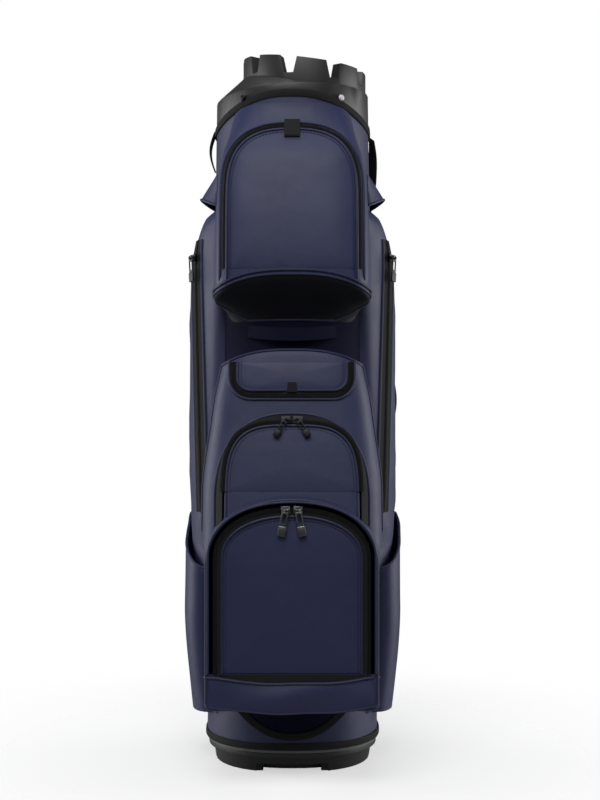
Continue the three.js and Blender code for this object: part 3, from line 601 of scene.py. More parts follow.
    def coil(self, path: Points, outward: Points, side: int) -> None:
        """Add one half of a zip's coil: a cord looping from the zip's middle to one side and back.

        Args:
            path: The zip's middle.
            outward: The direction each point's face looks.
            side: Which side of the middle it lies on.
        """
        span, pitch, radius = 0.0021, 0.0024, 0.00052
        run = float(np.linalg.norm(np.diff(path, axis=0), axis=1).sum())
        loops = max(2, int(run / pitch))
        spots, looks = resample(path, loops * 4), unit(resample(outward, loops * 4))
        across = np.cross(looks, unit(np.gradient(spots, axis=0)))
        phase = np.arange(loops * 4) % 4
        out = np.array([0.12, 1.0, 1.0, 0.12])[phase]
        lift = np.array([0.0007, 0.0007, 0.0001, 0.0001])[phase]
        cord = spots + across * (side * span * out)[:, None] + looks * lift[:, None]
        self.tube(cord, radius, sides=4)


@dataclass
class Workshop:
    """Turns sewn mesh data and copies of frame nodes into pieces that ride on the frame's bodies."""

    frame: dict[str, Any]
    made: list[str] = field(default_factory=list)

    def node(self, name: str) -> bpy.types.Object:
        """A carried-over node of the frame."""
        return self.frame["nodes"][name]

    def body_of(self, name: str) -> str:
        """The body that a frame node rides on."""
        return str(self.node(name)["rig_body"])

    def joint(self, name: str) -> dict[str, Any]:
        """A joint of the frame."""
        return next(j for j in self.frame["joints"] if j["name"] == name)

    def finish(
        self, piece: bpy.types.Object, finish: Finish, body: str, stands_for: Sequence[str] = ()
    ) -> None:
        """Give a piece its finish and its place on the frame.

        Args:
            piece: The piece.
            finish: What it is made of.
            body: The body that it rides on.
            stands_for: The frame nodes that it replaces.
        """
        piece.data.materials.clear()
        piece.data.materials.append(finish.material())
        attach(piece, body)
        if stands_for:
            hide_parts(*stands_for)
        self.made.append(piece.name)
        LOG.info("%s: %d faces, %s, rides on %s", piece.name, len(piece.data.polygons), finish.name, body)

    def sew(
        self, name: str, sewing: Sewing, finish: Finish, body: str = "bag", stands_for: Sequence[str] = (),
        closed: bool = True, angle: float = 40.0,
    ) -> bpy.types.Object:
        """Make a piece from sewn mesh data.

        Args:
            name: The piece's name.
            sewing: Its mesh data.
            finish: What it is made of.
            body: The body that it rides on.
            stands_for: The frame nodes that it replaces.
            closed: Whether its faces are turned outwards as a closed shell's are.
            angle: The sharpest turn, in degrees, that is still shaded smooth.

        Returns:
            The piece.
        """
        piece = self.raw(name, sewing, closed)
        self.shade(piece, angle)
        self.finish(piece, finish, body, stands_for)
        return piece

    def raw(self, name: str, sewing: Sewing, closed: bool = True) -> bpy.types.Object:
        """Make an object from sewn mesh data, with its doubles merged and its map kept.

        Args:
            name: The object's name.
            sewing: Its mesh data.
            closed: Whether its faces are turned outwards as a closed shell's are.

        Returns:
            The object, with no finish yet.
        """
        mesh = bpy.data.meshes.new(name)
        mesh.from_pydata(np.vstack(sewing.points).tolist(), [], sewing.faces)
        marks = np.vstack(sewing.marks)
        layer = mesh.uv_layers.new(name="along_across")
        corner = np.zeros(len(mesh.loops), dtype=np.int64)
        mesh.loops.foreach_get("vertex_index", corner)
        layer.data.foreach_set("uv", marks[corner].reshape(-1))
        work = bmesh.new()
        work.from_mesh(mesh)
        bmesh.ops.remove_doubles(work, verts=work.verts, dist=2e-6)
        bmesh.ops.dissolve_degenerate(work, dist=1e-7, edges=work.edges)
        if closed:
            bmesh.ops.recalc_face_normals(work, faces=work.faces)
        work.to_mesh(mesh)
        work.free()
        piece = bpy.data.objects.new(name, mesh)
        bpy.context.scene.collection.objects.link(piece)
        return piece

    def pipe(self, name: str, *cords: tuple[Points, float], body: str = "bag") -> None:
        """Make navy piping from paths, each with its radius."""
        sewing = Sewing()
        for path, radius in cords:
            sewing.tube(path, radius)
        self.sew(name, sewing, NAVY_EDGE, body)

    def wall(
        self, name: str, outer: Points, inner: Points, finish: Finish, stands_for: Sequence[str] = ()
    ) -> bpy.types.Object:
        """Make a soft wall of the bag from its outer and inner sheets, closed round its rim."""
        sewing = Sewing()
        shell_rows(sewing, outer, inner)
        return self.sew(name, sewing, finish, "bag", stands_for)

    def sheet(self, name: str, rows: Points, thick: float, finish: Finish) -> None:
        """Make a thin sheet of the bag from its front face, its thickness laid towards +Y."""
        self.wall(name, rows, rows + [0, thick, 0], finish)

    def shade(self, piece: bpy.types.Object, angle: float) -> None:
        """Shade a piece smooth, with an edge kept at sharper turns than the angle."""
        select_only(piece)
        bpy.ops.object.shade_smooth_by_angle(angle=math.radians(angle))

    def copy(
        self, node: str, finish: Finish, bevel: float, segments: int = 3, angle: float = 32.0
    ) -> None:
        """Make a moulded piece from a frame node's shape, with its edges rounded.

        Args:
            node: The frame node.
            finish: What the piece is made of.
            bevel: The radius of its edges.
            segments: How many faces go round an edge.
            angle: The sharpest turn that isn't rounded.
        """
        piece = bpy.data.objects.new(f"{node}_moulded", self.node(node).data.copy())
        bpy.context.scene.collection.objects.link(piece)
        work = bmesh.new()
        work.from_mesh(piece.data)
        bmesh.ops.remove_doubles(work, verts=work.verts, dist=2e-5)
        bmesh.ops.dissolve_limit(work, angle_limit=math.radians(1.5), verts=work.verts, edges=work.edges)
        work.to_mesh(piece.data)
        work.free()
        round_edges(piece, bevel, segments, angle)
        self.shade(piece, 34.0)
        self.finish(piece, finish, self.body_of(node), [node])

    def inflate(self, piece: bpy.types.Object, voxel: float, cap: float, pressure: float = 4.0) -> None:
        """Let a padded piece swell as cloth does over its filling, and keep the result in its mesh.

        Args:
            piece: The piece, already finished.
            voxel: The size of its even mesh.
            cap: The furthest that a point may move.
            pressure: The filling's pressure.
        """
        select_only(piece)
        remesh = piece.modifiers.new("even", "REMESH")
        remesh.mode = "VOXEL"
        remesh.voxel_size = voxel
        bpy.ops.object.modifier_apply(modifier=remesh.name)
        before = np.array([v.co[:] for v in piece.data.vertices])
        cloth = piece.modifiers.new("swell", "CLOTH")
        cloth.settings.use_pressure = True
        cloth.settings.uniform_pressure_force = pressure
        cloth.settings.effector_weights.gravity = 0.0
        for step in range(1, 21):
            bpy.context.scene.frame_set(step)
        select_only(piece)
        bpy.ops.object.modifier_apply(modifier=cloth.name)
        bpy.context.scene.frame_set(1)
        after = np.array([v.co[:] for v in piece.data.vertices])
        moved = after - before
        length = np.linalg.norm(moved, axis=1, keepdims=True)
        capped = before + moved * np.minimum(1.0, cap / np.maximum(length, 1e-9))
        piece.data.vertices.foreach_set("co", capped.reshape(-1))
        piece.data.update()
        smooth = piece.modifiers.new("smooth", "SUBSURF")
        smooth.levels = smooth.render_levels = 1
        bpy.ops.object.modifier_apply(modifier=smooth.name)
        self.shade(piece, 60.0)
        LOG.info("%s: swelled by up to %.1f mm", piece.name, 1000 * float(np.minimum(length, cap).max()))

    def cut(self, piece: bpy.types.Object, outline: Points, near: float, far: float) -> None:
        """Cut an opening through a piece along Y.

        Args:
            piece: The piece to cut.
            outline: The opening's outline in X and Z.
            near: Where the cut starts in Y.
            far: Where it ends.
        """
        tool = Sewing()
        tool.closed_tube(np.array([[(x, y, z) for x, z in outline] for y in (near, far)]))
        carve(piece, self.raw("opening_cutter", tool))

    def dress(self, finish: Finish, *nodes: str) -> None:
        """Give carried-over nodes a finish."""
        for name in nodes:
            for slot in self.node(name).material_slots:
                slot.material = finish.material()


def deselect() -> None:
    """Leave nothing selected."""
    for other in bpy.context.selected_objects:
        other.select_set(False)


def select_only(piece: bpy.types.Object) -> None:
    """Select one object and nothing else, in object mode."""
    deselect()
    bpy.context.view_layer.objects.active = piece
    piece.select_set(True)


def round_edges(piece: bpy.types.Object, radius: float, segments: int = 3, angle: float = 0.0) -> None:
    """Round an object's edges and keep the result in its mesh.

    Args:
        piece: The object.
        radius: The radius of its edges.
        segments: How many faces go round an edge.
        angle: The sharpest turn, in degrees, that isn't rounded, or 0 to round every edge.
    """
    rounding = piece.modifiers.new("edges", "BEVEL")
    rounding.width = radius
    rounding.segments = segments
    rounding.limit_method = "ANGLE" if angle else "NONE"
    if angle:
        rounding.angle_limit = math.radians(angle)
    select_only(piece)
    bpy.ops.object.modifier_apply(modifier=rounding.name)


def carve(piece: bpy.types.Object, cutter: bpy.types.Object) -> None:
    """Cut one object's shape out of another, and remove the cutter."""
    saw = piece.modifiers.new("opening", "BOOLEAN")
    saw.object = cutter
    saw.operation = "DIFFERENCE"
    saw.solver = "EXACT"
    select_only(piece)
    bpy.ops.object.modifier_apply(modifier=saw.name)
    bpy.data.objects.remove(cutter)


def normals_of(surface: Surface, outline: Points) -> Points:
    """The outward directions of a front surface at points in X and Z."""
    step = 0.0015
    found = []
    for x, z in outline:
        dx = (surface(x + step, z) - surface(x - step, z)) / (2 * step)
        dz = (surface(x, z + step) - surface(x, z - step)) / (2 * step)
        found.append((dx, -1.0, dz))
    return unit(np.array(found))


def on_surface(surface: Surface, outline: Points, proud: float = 0.0) -> Points:
    """Points of a front surface above an outline in X and Z, raised by a little."""
    points = np.array([(x, surface(x, z), z) for x, z in outline])
    return points + normals_of(surface, outline) * proud


@dataclass(frozen=True)
class Arch:
    """An outline with straight sides and a rounded top, in X and Z."""

    half: float
    spring: float
    top: float
    bottom: float
    squareness: float = 2.2

    def line(self, grow: float = 0.0, count: int = 110, bottom: float | None = None) -> Points:
        """The open outline from the lower right, over the top, to the lower left, evenly spaced.

        Args:
            grow: How far it grows.
            count: How many points it has.
            bottom: Another height for its foot.

        Returns:
            The points in X and Z.
        """
        low = self.bottom if bottom is None else bottom
        half, top = self.half + grow, self.top + grow
        rise = (low - self.spring) / (top - self.spring)
        start = math.asin(rise ** (self.squareness / 2)) if rise > 0 else 0.0
        turn = np.linspace(start, math.pi - start, 90)
        power = 2 / self.squareness
        x = half * np.sign(np.cos(turn)) * np.abs(np.cos(turn)) ** power
        z = self.spring + (top - self.spring) * np.abs(np.sin(turn)) ** power
        arc = np.stack([x, z], axis=1)
        if low < self.spring:
            arc = np.vstack([[half, low], arc, [-half, low]])
        return resample(arc, count)

    def ring(self, grow: float, count: int, corner: float) -> Points:
        """The closed outline, evenly spaced, with its lower corners rounded.

        Args:
            grow: How far it grows.
            count: How many points it has.
            corner: The radius of its lower corners.

        Returns:
            The points in X and Z.
        """
        line = self.line(grow, 400)
        low = line[:, 1].min()
        right = line[line[:, 1] > low + corner]
        turn = np.linspace(0, math.pi / 2, 8)
        near, far = corner * (1 - np.cos(turn)), corner * (1 - np.sin(turn))
        left_arc = np.stack([line[-1, 0] + near, low + far], axis=1)
        right_arc = np.stack([line[0, 0] - far, low + near], axis=1)
        return resample(np.vstack([right, left_arc, right_arc]), count, closed=True)


def panel(
    sewing: Sewing, ring: Points, surface: Surface, thick: float, puff: float = 0.0, edge: float = 0.0016
) -> None:
    """Add a padded panel over a front surface: a crowned face, a rolled edge and a flat back.

    Args:
        sewing: Where the mesh goes.
        ring: The closed outline in X and Z.
        surface: The front surface that its face follows.
        thick: Its thickness at the edge.
        puff: How far its middle stands proud.
        edge: The roll of its edge.
    """
    middle = ring.mean(axis=0)
    steps = [0.06, 0.2, 0.36, 0.52, 0.66, 0.78, 0.87, 0.93, 0.965, 0.985, 0.995, 1.0]
    rows, backs = [], []
    for s in steps:
        flat = middle + (ring - middle) * s
        inset = float(np.linalg.norm(ring - middle, axis=1).mean()) * (1 - s)
        drop = edge * (1 - math.sqrt(max(0.0, 1 - (1 - min(1.0, inset / edge)) ** 2)))
        rows.append(on_surface(surface, flat, puff * (1 - s**2.6) - drop))
        backs.append(on_surface(surface, flat, -thick))
    sewing.grid(np.array(rows + backs[::-1]), wrap=True)
    sewing.fan(rows[0], flip=True)
    sewing.fan(backs[0])


# ---------------------------------------------------------------- the bag's own shape


@dataclass(frozen=True)
class TubeShape:
    """The oval club tube: its half sizes by height and its points round the outside."""

    low: float = 0.038
    high: float = 0.874
    dip: float = 0.036
    width: tuple[float, float] = (0.229, 0.204)
    depth: tuple[float, float] = (0.254, 0.238)
    power: float = 2.3

    def half(self, z: float) -> tuple[float, float]:
        """Half the width and half the depth at a height."""
        t = (z - self.low) / (self.high - self.low)
        across = self.width[0] + (self.width[1] - self.width[0]) * t
        along = self.depth[0] + (self.depth[1] - self.depth[0]) * t
        return across / 2, along / 2

    def point(self, theta: float, z: float, grow: float = 0.0) -> Vector:
        """A point outside the tube, its angle counted from the front towards +X."""
        across, along = self.half(z)
        s, c = math.sin(theta), math.cos(theta)
        e = 2 / self.power
        x = (across + grow) * math.copysign(abs(s) ** e, s)
        y = -(along + grow) * math.copysign(abs(c) ** e, c)
        return Vector((x, y, z))

    def ring(self, heights: Callable[[float], float], grow: float, count: int = 144) -> Points:
        """A ring round the tube at a height that depends on the angle, evenly spaced."""
        turn = np.linspace(0, 2 * np.pi, 720, endpoint=False)
        dense = np.array([self.point(a, heights(a), grow) for a in turn])
        return resample(dense, count, closed=True)

    def top(self, theta: float) -> float:
        """The height of the tube's top edge, lower at the sides."""
        return self.high - self.dip * math.sin(theta) ** 2

    def front(self, x: float, z: float) -> float:
        """The front surface's Y at a point in X and Z."""
        across, along = self.half(z)
        return -along * max(0.0, 1 - abs(x / across) ** self.power) ** (1 / self.power)


TUBE = TubeShape()


def squared_plan(half: float, front: float, back: float, squareness: float, count: int = 90) -> Points:
    """Half a squared oval in plan, from the back left, round the front, to the back right."""
    turn = np.linspace(-math.pi / 2, math.pi / 2, 240)
    e = 2 / squareness
    x = half * np.sign(np.sin(turn)) * np.abs(np.sin(turn)) ** e
    y = back - (back - front) * np.abs(np.cos(turn)) ** e
    return resample(np.stack([x, y], axis=1), count)


def shell_rows(sewing: Sewing, outer: Points, inner: Points) -> None:
    """Add a wall between an outer and an inner sheet of the same layout, closed all round its rim."""
    sewing.grid(outer)
    sewing.grid(inner[:, ::-1])
    for a, b in ((outer, inner), (outer.swapaxes(0, 1), inner.swapaxes(0, 1))):
        for end in (0, -1):
            sewing.grid(np.stack([a[end], b[end]]))


def inside_out(point: Sequence[float], z: float, grow: float) -> float:
    """The factor that carries a plan point radially onto the tube's outside."""
    across, along = TUBE.half(z)
    share = (abs(point[0]) / (across + grow)) ** TUBE.power + (abs(point[1]) / (along + grow)) ** TUBE.power
    return max(share, 1e-9) ** (-1 / TUBE.power)


def clear_of_tube(row: Points, z: float, grow: float = -0.0008) -> Points:
    """Push a level's points out to the tube's face where they would lie inside it."""
    factors = [max(1.0, inside_out(p, z, grow)) for p in row]
    return np.array([(p[0] * f, p[1] * f, z) for p, f in zip(row, factors)])


@dataclass(frozen=True)
class PocketShape:
    """A pocket on the front of the tube: squared levels whose depth and width change with height."""

    depths: tuple[tuple[float, float], ...]
    narrows: tuple[tuple[float, float], ...]
    joins: tuple[tuple[float, float], ...]
    droop: float
    droop_half: float
    droops: tuple[tuple[float, float], ...]
    back_inset: float = 0.034
    squareness: float = 5.0
    wall: float = 0.0025

    def level(self, z: float, inset: float = 0.0) -> tuple[float, float, float]:
        """Half the width, the front and the back of a level."""
        across, along = TUBE.half(z)
        half = across - smooth_table(self.narrows, z) - inset
        return half, -along - smooth_table(self.depths, z) + inset, -along + self.back_inset

    def seat(self, x: float, y: float, z: float) -> float:
        """How far a point is drawn in towards the tube, as a factor."""
        join = smooth_table(self.joins, z)
        factor = inside_out((x, y), z, 0.0004)
        return factor + (1 - factor) * join

    def row(self, z: float, inset: float = 0.0, count: int = 90) -> Points:
        """A level's points from the tube's left side, round the front, to its right side."""
        half, front, back = self.level(z, inset)
        plan = squared_plan(half, front, back, self.squareness, count)
        tuck = np.array([[half - 0.02, back + 0.006]])
        plan = np.vstack([tuck * [-1, 1], plan, tuck])
        drawn = np.array([p * self.seat(p[0], p[1], z) for p in plan])
        row = clear_of_tube(drawn, z)
        fall = self.droop * np.minimum(np.abs(row[:, 0]) / self.droop_half, 1.12) ** 2.7
        return row - np.outer(fall * smooth_table(self.droops, z), [0, 0, 1])

    def front(self, x: float, z: float) -> float:
        """The front surface's Y at a point in X and Z."""
        half, front, back = self.level(z)
        source, root = x, 1 / self.squareness
        for _ in range(3):
            y = back - (back - front) * max(0.0, 1 - abs(source / half) ** self.squareness) ** root
            factor = self.seat(source, y, z)
            source = min(max(x / factor, -half), half)
        return y * factor

    def shell(self, heights: Points) -> Sewing:
        """The pocket's wall over a run of heights, with its inner face."""
        sewing = Sewing()
        low, high = heights[0] + self.wall, heights[-1] - self.wall
        outer = np.array([self.row(z) for z in heights])
        inner = np.array([self.row(min(max(z, low), high), self.wall) for z in heights])
        shell_rows(sewing, outer, inner)
        return sewing


UPPER = PocketShape(
    depths=((0.577, 0.0008), (0.586, 0.013), (0.597, 0.024), (0.614, 0.046), (0.632, 0.0605), (0.645, 0.061),
            (0.7, 0.0565), (0.75, 0.047), (0.8, 0.033), (0.83, 0.015), (0.858, 0.0006)),
    narrows=((0.577, 0.03), (0.597, 0.018), (0.614, 0.009), (0.634, 0.006), (0.7, 0.0065), (0.75, 0.009),
             (0.8, 0.015), (0.83, 0.023), (0.858, 0.032)),
    joins=((0.577, 0.0), (0.6, 0.55), (0.63, 1.0), (0.78, 1.0), (0.83, 0.55), (0.858, 0.0)),
    droop=0.0205, droop_half=0.094, droops=((0.577, 0.0), (0.606, 0.52), (0.634, 1.0), (0.6395, 0.0)),
)
APRON = PocketShape(
    depths=((0.29, 0.056), (0.36, 0.056), (0.45, 0.0405), (0.536, 0.0252), (0.541, 0.0225)),
    narrows=((0.29, -0.004), (0.36, -0.004), (0.45, 0.0055), (0.541, 0.017)),
    joins=((0.29, 1.0), (0.541, 1.0)),
    droop=0.02, droop_half=0.09, droops=((0.29, 0.0), (0.47, 0.0), (0.541, 1.0)),
)


@dataclass(frozen=True)
class Scoop:
    """An outline open at its top, with straight sides and a rounded foot, in X and Z."""

    half: float
    top: float
    bottom: float
    corner: float

    def line(self, grow: float = 0.0, count: int = 90, bottom: float | None = None) -> Points:
        """The open outline from the upper right, under its own foot, to the upper left, evenly spaced."""
        half, low, radius = self.half + grow, self.bottom - grow, self.corner + grow
        turn = np.linspace(0, math.pi / 2, 12)
        right = np.stack([half - radius * (1 - np.cos(turn)), low + radius * (1 - np.sin(turn))], axis=1)
        left = right[::-1] * [-1, 1]
        return resample(np.vstack([[half, self.top], right, left, [-half, self.top]]), count)

    def ring(self, grow: float, count: int, corner: float) -> Points:
        """The closed outline, evenly spaced; its own corners stand for the given one."""
        return resample(self.line(grow, 300), count, closed=True)


@dataclass
class ZippedLid:
    """A padded lid with piping round it, the zip along its edge and the piping outside the zip."""

    shop: Workshop
    name: str
    outline: Arch | Scoop
    surface: Surface
    body: str
    zip_width: float = 0.007
    puff: float = 0.0015
    thick: float = 0.0024
    corner: float = 0.004
    stands_for: tuple[str, ...] = ()
    zip_stands_for: tuple[str, ...] = ()
    outer_bottom: float | None = None
    welted: bool = True
    roll: float = 0.0016

    def tape(self, sewing: Sewing, inner: float, outer: float, bottom: float | None = None) -> None:
        """Add a strip of zip tape between two growths of the outline."""
        section = [(inner, -0.0009), (outer, -0.0009), (outer, 0.0), (inner, 0.0)]
        rows = [on_surface(self.surface, self.outline.line(g, 110, bottom), p) for g, p in section]
        start = len(sewing.marks)
        sewing.grid(np.array(rows + rows[:1]))
        run = run_along(rows[2])
        grows = [g for g, _ in section] + [section[0][0]]
        sewing.marks[start] = np.stack(np.meshgrid(run, grows), axis=-1).reshape(-1, 2)
        for end in (0, -1):
            ring = np.array([row[end] for row in rows])
            a = sewing.add(ring)
            sewing.faces.append((a, a + 1, a + 2, a + 3))

    def build(self) -> None:
        """Make the lid, its piping, both halves of the zip and the outer piping."""
        lid = Sewing()
        ring = self.outline.ring(-0.0006, 140, self.corner)
        panel(lid, ring, self.surface, self.thick, self.puff, self.roll)
        piece = self.shop.sew(f"{self.name}_lid_panel", lid, NAVY, self.body, self.stands_for)
        rim = on_surface(self.surface, self.outline.line(-0.0018), 0.0009)
        self.shop.pipe(f"{self.name}_lid_piping", (rim, 0.00165), body=self.body)
        seam = Sewing()
        line = self.outline.line(-0.0062)
        seam.stitches(on_surface(self.surface, line, self.puff * 0.3), normals_of(self.surface, line))
        self.shop.sew(f"{self.name}_lid_stitches", seam, THREAD, self.body, angle=20)
        middle = self.zip_width / 2
        line = self.outline.line(middle)
        coil = on_surface(self.surface, line, 0.0006)
        look = normals_of(self.surface, line)
        inner = Sewing()
        self.tape(inner, -0.0012, middle - 0.0002)
        inner.coil(coil, look, -1)
        self.shop.sew(f"{self.name}_lid_tape", inner, TAPE, self.body, angle=30)
        outer = Sewing()
        self.tape(outer, middle + 0.0002, self.zip_width + 0.0014, self.outer_bottom)
        outer.coil(coil, look, 1)
        self.shop.sew(f"{self.name}_zip_tape", outer, TAPE, "bag", self.zip_stands_for, angle=30)
        if self.welted:
            line = self.outline.line(self.zip_width + 0.0012, bottom=self.outer_bottom)
            self.shop.pipe(f"{self.name}_outer_piping", (on_surface(self.surface, line, 0.0007), 0.0017))


@dataclass
class ClubTube:
    """The oval tube: its outer skin, its liner and its bindings."""

    shop: Workshop
    skin: float = 0.0016
    binding: float = 0.0018
    binding_height: float = 0.0095

    def build(self) -> None:
        """Make the skin and the two bindings."""
        shell = Sewing()
        steps = np.linspace(0, 1, 90)

        def skin(grow: float) -> Points:
            """Rings of the skin, grown by an amount, each a little uneven as fabric over foam is."""
            rings = []
            for s in steps:
                ring = TUBE.ring(lambda a, s=s: 0.0384 + (TUBE.top(a) - 0.0384) * s, grow, 160)
                swell = [0.0009 * noise.noise(Vector((p[0] * 14, p[1] * 14, p[2] * 7))) for p in ring]
                rings.append(ring * (1 + np.array(swell)[:, None] / 0.11 * [1, 1, 0]))
            return np.array(rings)

        outer, inner = skin(0.0), skin(-self.skin)
        loop = np.concatenate([outer, inner[::-1], outer[:1]])
        shell.grid(loop, wrap=True)
        self.shop.sew("tube_skin", shell, NAVY, "bag", ["body_skin"])
        self.hoop("collar_band", lambda a: TUBE.top(a) + 0.001, self.binding_height, ["collar_binding"])
        self.hoop("base_band", lambda a: 0.0392, 0.0088, ["base_binding"])
        seams = [[(x, TUBE.front(x, z) - 0.0008, z) for z in np.linspace(0.515, 0.61, 24)]
                 for x in (-0.0915, 0.0915)]
        self.shop.pipe("recess_piping", *((np.array(path), 0.0016) for path in seams))
        # A dark navy sheet over the recess between its seams, painted shade cast by the belly above.
        recess = np.array([[(x, TUBE.front(x, z) - 0.0008, z) for x in np.linspace(-0.0905, 0.0905, 60)]
                           for z in np.linspace(0.517, 0.6, 16)])
        self.shop.sheet("recess_panel", recess, 0.0007, NAVY_PAINTED_SHADE)

    def hoop(self, name: str, height: Callable[[float], float], fall: float, stands_for: list[str]) -> None:
        """Make a webbing band round the tube.

        Args:
            name: The piece's name.
            height: Its edge's height by the angle.
            fall: How far it reaches below that edge.
            stands_for: The frame nodes that it replaces.
        """
        band = Sewing()
        thick = self.binding
        section = [(-0.0004, 0.0), (thick * 0.7, 0.0), (thick, 0.12), (thick * 1.12, 0.5), (thick, 0.88),
                   (thick * 0.7, 1.0), (-0.0004, 1.0)]
        rows = [TUBE.ring(lambda a, t=t: height(a) - fall * t, grow + 0.0003, 200) for grow, t in section]
        start = len(band.marks)
        band.grid(np.array(rows + rows[:1]), wrap=True)
        run = np.linspace(0, 0.74, 201)
        levels = np.array([t * abs(fall) for _, t in section] + [0.0])
        band.marks[start] = np.stack(np.meshgrid(run, levels), axis=-1).reshape(-1, 2)
        self.shop.sew(name, band, WEBBING, "bag", stands_for)

    def dress(self) -> None:
        """Finish the liner, the pad and the divider sheets."""
        self.shop.dress(LINER, "inner_tube")
        self.shop.dress(FOAM, "base_pad")
        self.shop.dress(LINING, *(f"divider_sheet_{row}" for row in ("front", "middle", "back")))


@dataclass
class MouldedTrim:
    """The moulded base, the collar, the notched organizer and its divider bars."""

    shop: Workshop
    edge: float = 0.0014

    def build(self) -> None:
        """Make the moulded pieces with rounded edges."""
        self.shop.copy("base_cup", BASE_MOULD, 0.0011)
        self.shop.copy("top_collar", MOULD, self.edge)
        self.shop.copy("organizer_crown", MOULD, 0.0022, segments=4)
        for row in ("front", "middle", "back"):
            self.shop.copy(f"divider_bar_{row}", MOULD, 0.001)
        # Both studs are one kind: the right one takes the bright pearl, the left one black plate as painted
        # shade where it lies in shadow.
        for side in Side:
            self.shop.copy(f"snap_stud_{side.word}", PEARL if side is Side.RIGHT else BLACK_METAL, 0.0006)
            self.shop.copy(f"stay_rod_{side.word}", GUNMETAL, 0.0004)
        for word in ("upper", "lower"):
            self.shop.copy(f"strap_ring_{word}", STEEL, 0.0002, angle=50)


@dataclass
class UpperPocket:
    """The big upper pocket with its domed belly, arched lid and folded tab."""

    shop: Workshop
    lid: Arch = field(default_factory=lambda: Arch(0.0825, 0.73, 0.8225, 0.6402, 2.7))

    def build(self) -> None:
        """Make the shell, the lid with its zip, the belly's piping and the tab."""
        seam = 0.634
        # The belly takes the near-black leather: painted shade under the pocket.
        belly = self.shop.sew("upper_belly", UPPER.shell(np.linspace(0.577, seam, 24)), BELLY_PAINTED_SHADE)
        heights = np.unique(np.concatenate([np.linspace(seam, 0.66, 12), np.linspace(0.66, 0.858, 50)]))
        shell = self.shop.sew("upper_shell", UPPER.shell(heights), NAVY, "bag", ["upper_pocket_shell"])
        self.shop.cut(shell, self.lid.ring(0.0038, 160, 0.006), -0.3, -0.09)
        ZippedLid(
            self.shop, "upper", self.lid, UPPER.front, "upper_lid", 0.0062, 0.002, corner=0.003, roll=0.0006,
            stands_for=("upper_pocket_lid",), zip_stands_for=("upper_pocket_zip",), outer_bottom=0.6225,
        ).build()
        back = np.array([[(x, TUBE.front(x, z) - 0.0016, z) for x in np.linspace(-0.08, 0.08, 50)]
                         for z in np.linspace(0.6, 0.815, 30)])
        self.shop.sheet("upper_back_lining", back, 0.0009, LINING)
        for k, (lift, size) in enumerate(((0.0048, 0.0019), (-0.0006, 0.0015))):
            row = UPPER.row(seam, -0.0007, 140)[3:-3] + [0.0, 0.0, lift]
            self.shop.pipe(f"belly_piping_{k + 1}", (row, size))
        edge = ((0.632, 5), (0.622, 6), (0.61, 7), (0.598, 10), (0.587, 14), (0.579, 20))
        keys = np.array([UPPER.row(z, -0.0006, 90)[k] for z, k in edge])
        sides = [(soften(keys * [-sign, 1, 1]), 0.0015) for sign in (-1, 1)]
        self.shop.pipe("belly_side_piping", *sides, (UPPER.row(0.579, -0.0014, 120)[27:-27], 0.0017))
        ends = [np.array([(sign * 0.0807, z) for z in np.linspace(0.6392, 0.6255, 14)]) for sign in (-1, 1)]
        ends = [(on_surface(UPPER.front, line, 0.0009), 0.00165) for line in ends]
        self.shop.pipe("upper_lid_piping_ends", *ends)
        tab = Sewing()
        folds = ((0.811, 0.0), (0.8105, 0.0032), (0.815, 0.0046), (0.822, 0.0048), (0.831, 0.0042),
                 (0.8335, 0.0014))
        path = soften(np.array([(0.0, UPPER.front(0, z) - lift, z) for z, lift in folds]))
        tab.strap(path, [0.0, -1.0, 0.35], 0.02, 0.0016)
        self.shop.sew("upper_zip_tab", tab, WEBBING, "upper_lid", ["upper_tab"])


@dataclass
class FrontApron:
    """The apron with its flap pocket."""

    shop: Workshop
    flap: Scoop = field(default_factory=lambda: Scoop(0.07, 0.525, 0.487, 0.018))

    def build(self) -> None:
        """Make the apron, its top piping, and the flap with its zip and tab."""
        wall = APRON.shell(np.linspace(0.29, 0.541, 60))
        shell = self.shop.sew("apron_shell", wall, NAVY, "bag", ["front_apron"])
        top = Sewing()
        row = APRON.row(0.541, 0.0, 120)
        inner = np.array([(p[0], TUBE.front(p[0], p[2]) + 0.001, p[2] + 0.002) for p in row * [0.93, 1, 1]])
        steps = [row * (1 - s) + inner * s for s in (0.0, 0.1, 0.3, 0.6, 1.0)]
        top.grid(np.array(steps))
        top.grid(np.array([s - [0, 0, 0.0022] for s in steps]))
        self.shop.sew("apron_top", top, NAVY, closed=False)
        sides = [[APRON.row(z, -0.0006, 90)[k] for z in np.linspace(0.31, 0.539, 70)] for k in (10, -11)]
        cords = [(np.array(path), 0.0015) for path in sides]
        self.shop.pipe("apron_piping", (APRON.row(0.5405, -0.0004, 120)[2:-2], 0.0018), *cords)
        ZippedLid(self.shop, "flap", self.flap, APRON.front, "flap", 0.008, 0.0018, thick=0.002,
                  stands_for=("flap_pocket_flap",), zip_stands_for=("flap_pocket_zip",)).build()
        tab = Sewing()
        path = np.array([(0.0, APRON.front(0, z) - 0.0022, z) for z in np.linspace(0.499, 0.4868, 12)])
        tab.strap(path, [0.0, -1.0, 0.0], np.linspace(0.0105, 0.0135, 12), 0.0018)
        self.shop.sew("flap_pull_tab", tab, WEBBING, "flap", ["flap_tab"])


